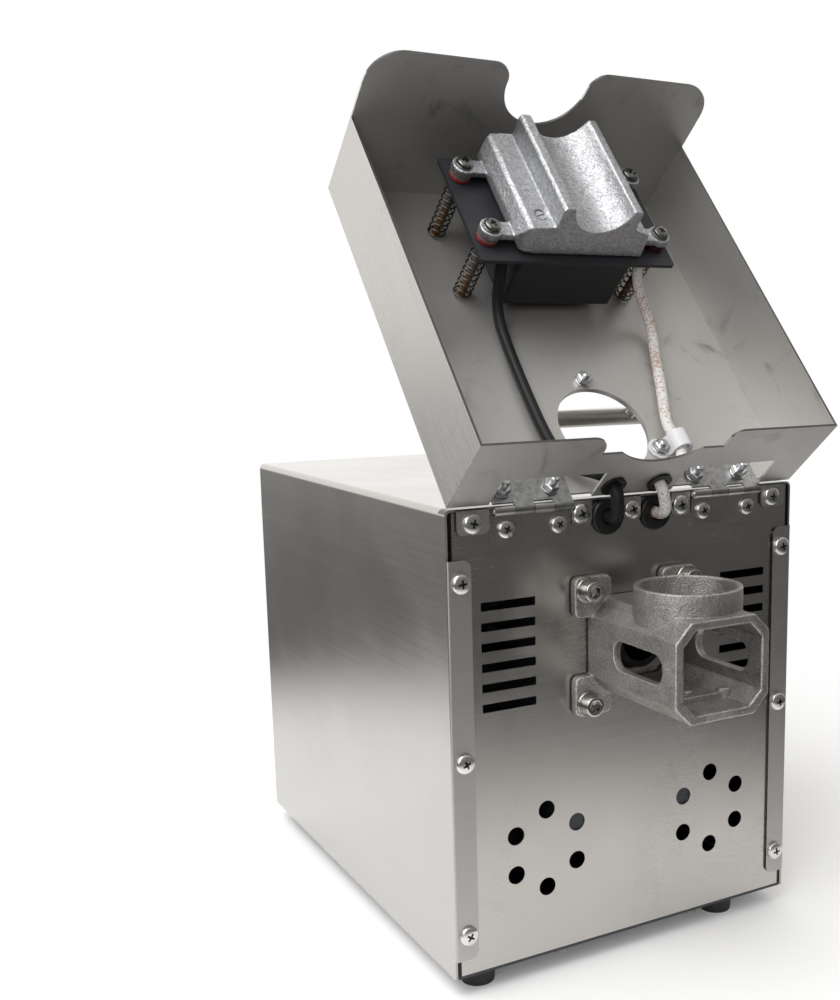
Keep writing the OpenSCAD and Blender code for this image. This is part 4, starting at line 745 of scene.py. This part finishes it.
parts = []
for sx in (-1, 1):
    for sz in (-1, 1):
        parts.append(socket_head(R(sx * 29, -6.6, 153.5 + sz * 27.8), (0, -1, 0), rng.uniform(0, 1)))
finish_object(parts, "seat_bolts", ["boltw"], "housing", ["casting_bolts"], deep="socket")
parts = []
for sx in (-1, 1):
    for sz in (-1, 1):
        prof = [(3.1, -0.02), (6.0, 0), (6.2, 0.2), (6.2, 1.35), (6.0, 1.58), (4.7, 1.6), (3.1, 1.45)]
        ring_v, ring_f = [], []
        o, ax = R(sx * 29, -5, 153.5 + sz * 27.8), Vector((0, -1, 0))
        u = ax.orthogonal().normalized()
        w = ax.cross(u)
        for rr, hh in prof:
            for k in range(48):
                a = 2 * math.pi * k / 48
                ring_v.append(o + (rr * (math.cos(a) * u + math.sin(a) * w) + hh * ax) / 1000)
        for i in range(len(prof)):
            j = (i + 1) % len(prof)
            for k in range(48):
                k2 = (k + 1) % 48
                ring_f.append((i * 48 + k, i * 48 + k2, j * 48 + k2, j * 48 + k))
        parts.append((ring_v, ring_f, 0))
finish_object(parts, "seat_washers", ["washer"], "housing", ["casting_washers"])


# ---------------------------------------------------------------- nuts and bolts of the lid
UP = L(0, 0, 1) - L(0, 0, 0)


def hex_nut(x, v, w0, h, turn, r=4.04, mat=0):
    prof = [(0, 0), (r - 0.35, 0), (r, 0.4), (r, h - 0.5), (r - 0.6, h), (2.05, h), (1.9, h - 0.5), (0, h - 0.5)]
    u = Matrix.Rotation(turn, 3, UP.normalized()) @ Vector((1, 0, 0))
    vs, fs = revolve([(a / 1000, b / 1000) for a, b in prof], 6, L(x, v, w0), UP, u)
    return vs, fs, mat


def lid_disc(x, v, w0, w1, r0, r1=None, chamfer=0.15, sides=28, mat=0):
    vs, fs, _ = cylinder(r0, r1 or r0, 0, w1 - w0, sides, L(x, v, w0), UP, chamfer)
    return vs, fs, mat


parts = []
for x in (-70.6, -44.8, 38.2, 65.8):
    parts += [placed(phillips_data, L(x, 5.3, -0.02), -UP, rng.uniform(0, 3), 0.00082) for phillips_data in (pan5,)]
    parts += [lid_disc(x, 5.3, 2.4, 3.2, 4.5), hex_nut(x, 5.3, 3.2, 3.0, rng.uniform(0, 1)), lid_disc(x, 5.3, 0.5, 10.3, 1.95, 1.95, 0.5, 18)]
finish_object(parts, "hinge_nuts", ["zinc"], "lid", ["hinge_bolts"])
parts = []
for a in (90, 210, 330):
    x, v = 30 * math.cos(math.radians(a)), 38.3 + 30 * math.sin(math.radians(a))
    w0 = 2.4 if a == 330 else 1.2
    parts += [placed(pan5, L(x, v, -1.52), -UP, rng.uniform(0, 3), 0.00082), lid_disc(x, v, w0, w0 + 0.8, 4.5),
              hex_nut(x, v, w0 + 0.8, 3.0, rng.uniform(0, 1)), lid_disc(x, v, -1.5, w0 + 5.6, 1.95, 1.95, 0.5, 18)]
finish_object(parts, "ring_nuts", ["zinc"], "lid", ["ring_screws"])
parts = []
pan_wide = phillips_mesh("pan_wide", 4.75, 2.3, "screw", cross=0.60, wide=0.17)
for i, (x, v) in enumerate([(-49, 126), (-49, 168.5), (49, 126), (49, 168.5)]):
    head = placed(pan_wide, L(x, v, 48.3), UP, 0.4 + i * 1.1, 0.00086, 1)
    parts += [lid_disc(x, v, -5.9, 47.5, 1.95, 1.95, 0.4, 20, 0), lid_disc(x, v, 47.32, 48.2, 4.6, mat=1), lid_disc(x, v, 48.2, 48.5, 3.6, mat=1), head,
              hex_nut(x, v, -4.2, 3.2, i * 0.7, mat=1), lid_disc(x, v, -1.0, 0, 4.6, mat=1)]
finish_object(parts, "spring_bolts", ["bolt", "darkscrew"], "lid", ["heater_bolts"])


def sensor_screw():
    """Slotted screw end sunk in the block's shelf: two halves of a disc with the slot between."""
    parts = []
    c, a0 = (-26.1, 125.7), math.radians(20)
    for sgn in (1, -1):
        pts = []
        for k in range(17):
            a = math.asin(0.45 / 2.7) + k / 16 * (math.pi - 2 * math.asin(0.45 / 2.7))
            pts.append((2.7 * math.cos(a), sgn * 2.7 * math.sin(a)))
        ring = [(c[0] + px * math.cos(a0) - py * math.sin(a0), c[1] + px * math.sin(a0) + py * math.cos(a0)) for px, py in pts]
        if sgn < 0:
            ring = ring[::-1]
        m = len(ring)
        cx, cy = sum(q[0] for q in ring) / m, sum(q[1] for q in ring) / m
        verts = [L(x, v, 54.4) for x, v in ring] + [L(x, v, 56.0) for x, v in ring]
        verts += [L(cx + 0.93 * (x - cx), cy + 0.93 * (v - cy), 56.25) for x, v in ring]
        faces = [(k, (k + 1) % m, m + (k + 1) % m, m + k) for k in range(m)]
        faces += [(m + k, m + (k + 1) % m, 2 * m + (k + 1) % m, 2 * m + k) for k in range(m)]
        faces += [tuple(range(m))[::-1], tuple(range(2 * m, 3 * m))]
        parts.append((verts, faces, 0))
    finish_object(parts, "sensor_screw", ["zinc"], "heater")


sensor_screw()


def strap():
    """Translucent clip: a band bent round the lead, both ends under the nut."""
    cx, cw, r = 35.4, 6.9, 5.0
    line = [(24.0, 1.72), (28.5, 1.72), (32.0, 1.72)]
    line += [(cx + r * math.cos(math.radians(a)), cw + r * math.sin(math.radians(a))) for a in range(-95, 196, 15)]
    line += [(30.2, 3.6), (28.6, 2.35), (24.0, 2.28)]
    n = len(line)
    th = [0.28 if i < 2 or i > n - 3 else 0.48 for i in range(n)]
    verts, faces = [], []
    for i in range(n):
        a, b = line[max(i - 1, 0)], line[min(i + 1, n - 1)]
        dx, dw = b[0] - a[0], b[1] - a[1]
        k = math.hypot(dx, dw)
        nx, nw = -dw / k, dx / k
        f = 0.55 if i < 1 or i > n - 2 else 1.0
        for side in (1, -1):
            for v in (23.3 - 5.0 * f, 23.3 + 5.0 * f):
                verts.append(L(line[i][0] + side * th[i] * nx, v, line[i][1] + side * th[i] * nw))
    for i in range(n - 1):
        o, p2 = 4 * i, 4 * i + 4
        faces += [(o, o + 1, p2 + 1, p2), (o + 3, o + 2, p2 + 2, p2 + 3), (o + 2, o, p2, p2 + 2), (o + 1, o + 3, p2 + 3, p2 + 1)]
    faces += [(0, 2, 3, 1), (4 * n - 4, 4 * n - 3, 4 * n - 1, 4 * n - 2)]
    parts = [(verts, faces, 0), lid_disc(26, 23.3, 1.26, 2.34, 6.0, chamfer=0.2, sides=40)]
    ob = finish_object(parts, "lead_strap", ["clip"], "lid", ["lead_clip"], angle=40)
    bm = bmesh.new()
    bm.from_mesh(ob.data)
    bmesh.ops.recalc_face_normals(bm, faces=bm.faces)
    bm.to_mesh(ob.data)
    bm.free()


strap()


# ---------------------------------------------------------------- springs
def springs():
    objs = []
    for i, (x, v) in enumerate([(-49, 126), (-49, 168.5), (49, 126), (49, 168.5)]):
        path = []
        turns, w0, w1, r = 9.5, 1.8, 36.8, 4.42
        n = 228
        for k in range(n + 1):
            f = k / n
            # closed end turns, open middle
            a = turns * 2 * math.pi * f
            g = min(max((f - 0.09) / 0.82, 0), 1)
            w = w0 + (w1 - w0) * (0.06 * min(f / 0.09, 1) + 0.88 * g + 0.06 * min(max((f - 0.91) / 0.09, 0), 1))
            path.append(L(x + r * math.cos(a + i), v + r * math.sin(a + i), w))
        vs, fs, uv = tube_data(path, 0.00045, 8)
        ob = new_object(f"spring_{i}", vs, fs, ["spring"], uvs=uv)
        weld(ob)
        objs.append(ob)
        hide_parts("heater_springs")
        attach(ob, "lid")
        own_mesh(ob)
    return objs


springs()


# ---------------------------------------------------------------- leads
def leads():
    lid_l = [(-38.5, 122, 36.7), (-38.5, 121, 30), (-38.3, 117, 22), (-38, 111, 13), (-37.4, 103, 7), (-37, 92, 4.6), (-37.5, 75, 4.4),
             (-37.5, 55, 4.4), (-37, 38, 4.4), (-35.2, 25, 4.6), (-30, 14, 5.6), (-21, 7.8, 7.4), (-15.8, 4.6, 7.9), (-14.8, 1.5, 8), (-14.8, -0.6, 8)]
    lid_r = [(39.6, 118.5, 36.7), (40.3, 117.4, 30), (43.1, 115.2, 23.5), (46.5, 110.8, 17), (50.4, 105.3, 11.5), (52.2, 99.3, 8), (50.9, 89.6, 5.6),
             (47.8, 78.1, 4.6), (44.4, 66, 4.6), (40.9, 54.7, 4.7), (37, 43.6, 5), (34.6, 35.5, 5.8), (34, 30, 6.4), (34, 17, 6.4), (28.5, 10, 7.2),
             (19, 8, 7.6), (13.2, 6, 8), (11.7, 3, 8), (11.6, -0.6, 8)]
    loop_l = [(-14.8, -6.74, 229.23), (-14.8, -9, 226.6), (-14.8, -9.8, 224.3), (-14.8, -9.85, 222), (-14.8, -9.8, 219.6), (-14.7, -9.13, 217.1),
              (-14.6, -7.3, 215.27), (-14.5, -4.8, 214.6), (-14.5, 0.6, 214.6), (-14.5, 6, 214.6)]
    loop_r = [(11.6, -6.74, 229.23), (11.6, -9, 226.6), (11.8, -9.8, 224.3), (12.2, -9.85, 222), (12.7, -9.8, 219.6), (13.1, -9.13, 217.1),
              (13.3, -7.3, 215.27), (13.4, -4.8, 214.6), (13.4, 0.6, 214.6), (13.4, 6, 214.6)]
    for name, pts, mat in (("lead_black", lid_l, "cable"), ("lead_braided", lid_r, "braid")):
        path = catmull([L(*p) for p in pts], 10)
        vs, fs, uv = tube_data(path, 0.0029, 20)
        ob = new_object(name, vs, fs, [mat], uvs=uv)
        weld(ob)
        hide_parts("lid_leads")
        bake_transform(ob)
    for name, pts, mat in (("loop_black", loop_l, "cable"), ("loop_braided", loop_r, "braid")):
        path = catmull([R(*p) for p in pts], 10)
        vs, fs, uv = tube_data(path, 0.0032 if mat == "cable" else 0.0029, 24)
        ob = new_object(name, vs, fs, [mat], uvs=uv)
        weld(ob)
        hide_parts("lead_loops")
        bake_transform(ob)


leads()


# ---------------------------------------------------------------- castings, rounded from the CAD solids
def rounded(node, name, mat, body, voxel=0.00055, smooth=6, lump=0.00010, seed=0.0):
    src = nodes[node]
    me = src.data.copy()
    box = np.array([v.co[:] for v in me.vertices])
    low, high = box.min(0), box.max(0)
    ob = bpy.data.objects.new(name, me)
    scene.collection.objects.link(ob)
    me.materials.clear()
    bm = bmesh.new()
    bm.from_mesh(me)
    bmesh.ops.remove_doubles(bm, verts=bm.verts, dist=1e-6)
    bm.to_mesh(me)
    bm.free()
    md = ob.modifiers.new("r", "REMESH")
    md.mode = "VOXEL"
    md.voxel_size = voxel
    md.use_smooth_shade = True
    sm = ob.modifiers.new("s", "SMOOTH")
    sm.factor = 0.5
    sm.iterations = smooth
    out = applied(ob)
    bpy.data.objects.remove(ob)
    n = len(out.vertices)
    co = np.empty(n * 3)
    out.vertices.foreach_get("co", co)
    co = co.reshape(-1, 3)
    nor = np.empty(n * 3)
    out.vertices.foreach_get("normal", nor)
    nor = nor.reshape(-1, 3)
    d = np.array([noise.noise(Vector(p) * 160 + Vector((seed, 0, 0))) + 0.5 * noise.noise(Vector(p) * 420) for p in co])
    co = co + nor * (d * lump)[:, None]
    # how far each point stands proud of its neighbourhood, which the cast materials use for painted highlights on edges
    # and painted shade in hollows
    ed = np.empty(len(out.edges) * 2, dtype=np.int64)
    out.edges.foreach_get("vertices", ed)
    ed = ed.reshape(-1, 2)
    cnt = np.bincount(ed.ravel(), minlength=n).astype(float)
    avg = co.copy()
    for _ in range(7):
        acc = np.zeros_like(avg)
        np.add.at(acc, ed[:, 0], avg[ed[:, 1]])
        np.add.at(acc, ed[:, 1], avg[ed[:, 0]])
        avg = acc / np.maximum(cnt, 1)[:, None]
    proud = ((co - avg) * nor).sum(1) / voxel
    att = out.attributes.new("proud", "FLOAT", "POINT")
    att.data.foreach_set("value", np.clip(proud * 1.1, -1, 1).astype(np.float32))
    out.vertices.foreach_set("co", np.clip(co, low, high).ravel())
    out.update()
    out.materials.append(M[mat])
    for pl in out.polygons:
        pl.use_smooth = True
    ob = bpy.data.objects.new(name, out)
    scene.collection.objects.link(ob)
    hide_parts(node)
    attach(ob, body)
    return ob


rounded("feed_casting", "barrel_seat", "seat", "housing", voxel=0.0005, smooth=3, seed=3.0)
rounded("heater_block", "saddle_block", "block", "heater", voxel=0.0005, smooth=5, seed=9.0)


# ---------------------------------------------------------------- edges of the sheet parts
def soften(node, width, angle=30, seg=2):
    ob = nodes[node]
    md = ob.modifiers.new("edge", "BEVEL")
    md.width = width
    md.segments = seg
    md.limit_method = "ANGLE"
    md.angle_limit = math.radians(angle)
    md.harden_normals = False


soften("hinge_lower_leaves", 0.00022)


# ---------------------------------------------------------------- floor, world, lights
def make_floor():
    n = 96
    verts = [Vector((0, 0, 0))]
    faces = []
    rings = [0.15, 0.25, 0.35, 0.5, 0.7, 0.9]
    for r in rings:
        for k in range(n):
            a = 2 * math.pi * k / n
            verts.append(Vector((r * math.cos(a), r * math.sin(a), 0)))
    for k in range(n):
        faces.append((0, 1 + k, 1 + (k + 1) % n))
    for j in range(len(rings) - 1):
        a, b = 1 + j * n, 1 + (j + 1) * n
        for k in range(n):
            faces.append((a + k, b + k, b + (k + 1) % n, a + (k + 1) % n))
    me = bpy.data.meshes.new("floor")
    me.from_pydata([tuple(v) for v in verts], [], faces)
    ob = bpy.data.objects.new("floor", me)
    scene.collection.objects.link(ob)
    m = bpy.data.materials.new("floor")
    m.use_nodes = True
    t = Tree(m.node_tree)
    out = t.n("ShaderNodeOutputMaterial")
    dif = t.n("ShaderNodeBsdfDiffuse")
    dif.inputs["Color"].default_value = (0.92, 0.92, 0.92, 1)
    em = t.n("ShaderNodeEmission")
    em.inputs["Color"].default_value = (1, 1, 1, 1)
    em.inputs["Strength"].default_value = 0.10
    add = t.n("ShaderNodeAddShader")
    t.link(dif.outputs[0], add.inputs[0])
    t.link(em.outputs[0], add.inputs[1])
    tr = t.n("ShaderNodeBsdfTransparent")
    tc = t.n("ShaderNodeTexCoord").outputs["Object"]
    ln = t.n("ShaderNodeVectorMath", operation="LENGTH")
    t.link(t.mapping(tc, loc=(0.06, -0.06, 0)), ln.inputs[0])
    fade = t.range(ln.outputs["Value"], 0.27, 0.60, 0, 1, smooth=True)
    mx = t.n("ShaderNodeMixShader")
    t.link(fade, mx.inputs[0])
    t.link(add.outputs[0], mx.inputs[1])
    t.link(tr.outputs[0], mx.inputs[2])
    t.link(mx.outputs[0], out.inputs[0])
    me.materials.append(m)


make_floor()


def make_world():
    w = bpy.data.worlds.new("studio")
    scene.world = w
    w.use_nodes = True
    t = Tree(w.node_tree)
    out = t.n("ShaderNodeOutputWorld")
    tc = t.n("ShaderNodeTexCoord").outputs["Generated"]
    s = t.n("ShaderNodeSeparateXYZ")
    t.link(tc, s.inputs[0])
    x, y, z = s.outputs
    # a pale sweep behind, bright above the table's edge and dim below it, a soft ceiling, and a dark room in front
    back = t.range(t.math("ADD", t.math("MULTIPLY", x, 0.25), t.math("MULTIPLY", y, 0.97)), -0.1, 0.72, 0.0, 1.0, smooth=True)
    rise = t.range(z, -0.10, 0.05, 0.12, 1.02, smooth=True)
    over = t.range(z, 0.3, 0.95, 0.0, 1.0, smooth=True)
    wall = t.math("MULTIPLY", t.math("MULTIPLY", back, rise), t.math("SUBTRACT", 1.0, t.math("MULTIPLY", over, 0.6)))
    low = t.range(z, -0.18, -0.09, 0.065, 0.16, smooth=True)
    val = t.math("ADD", wall, t.math("ADD", t.math("MULTIPLY", over, 0.50), low))
    light = t.n("ShaderNodeBackground")
    cc = t.n("ShaderNodeCombineColor")
    for i, k in enumerate((1.0, 0.985, 0.96)):
        t.link(t.math("MULTIPLY", val, k), cc.inputs[i])
    t.link(cc.outputs[0], light.inputs["Color"])
    seen = t.n("ShaderNodeBackground")
    seen.inputs["Color"].default_value = (1, 1, 1, 1)
    lp = t.n("ShaderNodeLightPath").outputs["Is Camera Ray"]
    mx = t.n("ShaderNodeMixShader")
    t.link(lp, mx.inputs[0])
    t.link(light.outputs[0], mx.inputs[1])
    t.link(seen.outputs[0], mx.inputs[2])
    t.link(mx.outputs[0], out.inputs[0])


make_world()


def area(name, loc, target, size, power, col=(1, 1, 1), size_y=None):
    la = bpy.data.lights.new(name, "AREA")
    la.shape = "RECTANGLE"
    la.size = size
    la.size_y = size_y or size
    la.energy = power
    la.color = col
    ob = bpy.data.objects.new(name, la)
    scene.collection.objects.link(ob)
    ob.location = loc
    ob.rotation_euler = (Vector(target) - Vector(loc)).to_track_quat("-Z", "Y").to_euler()
    return ob


area("left", (-1.1, 0.9, 1.05), (0, 0, 0.25), 0.9, 2.2, size_y=0.8)
area("top", (-0.8, -0.35, 1.35), (0, 0, 0.25), 1.1, 15)
area("front", (-1.0, -1.1, 0.75), (0, 0, 0.2), 0.8, 5.5)
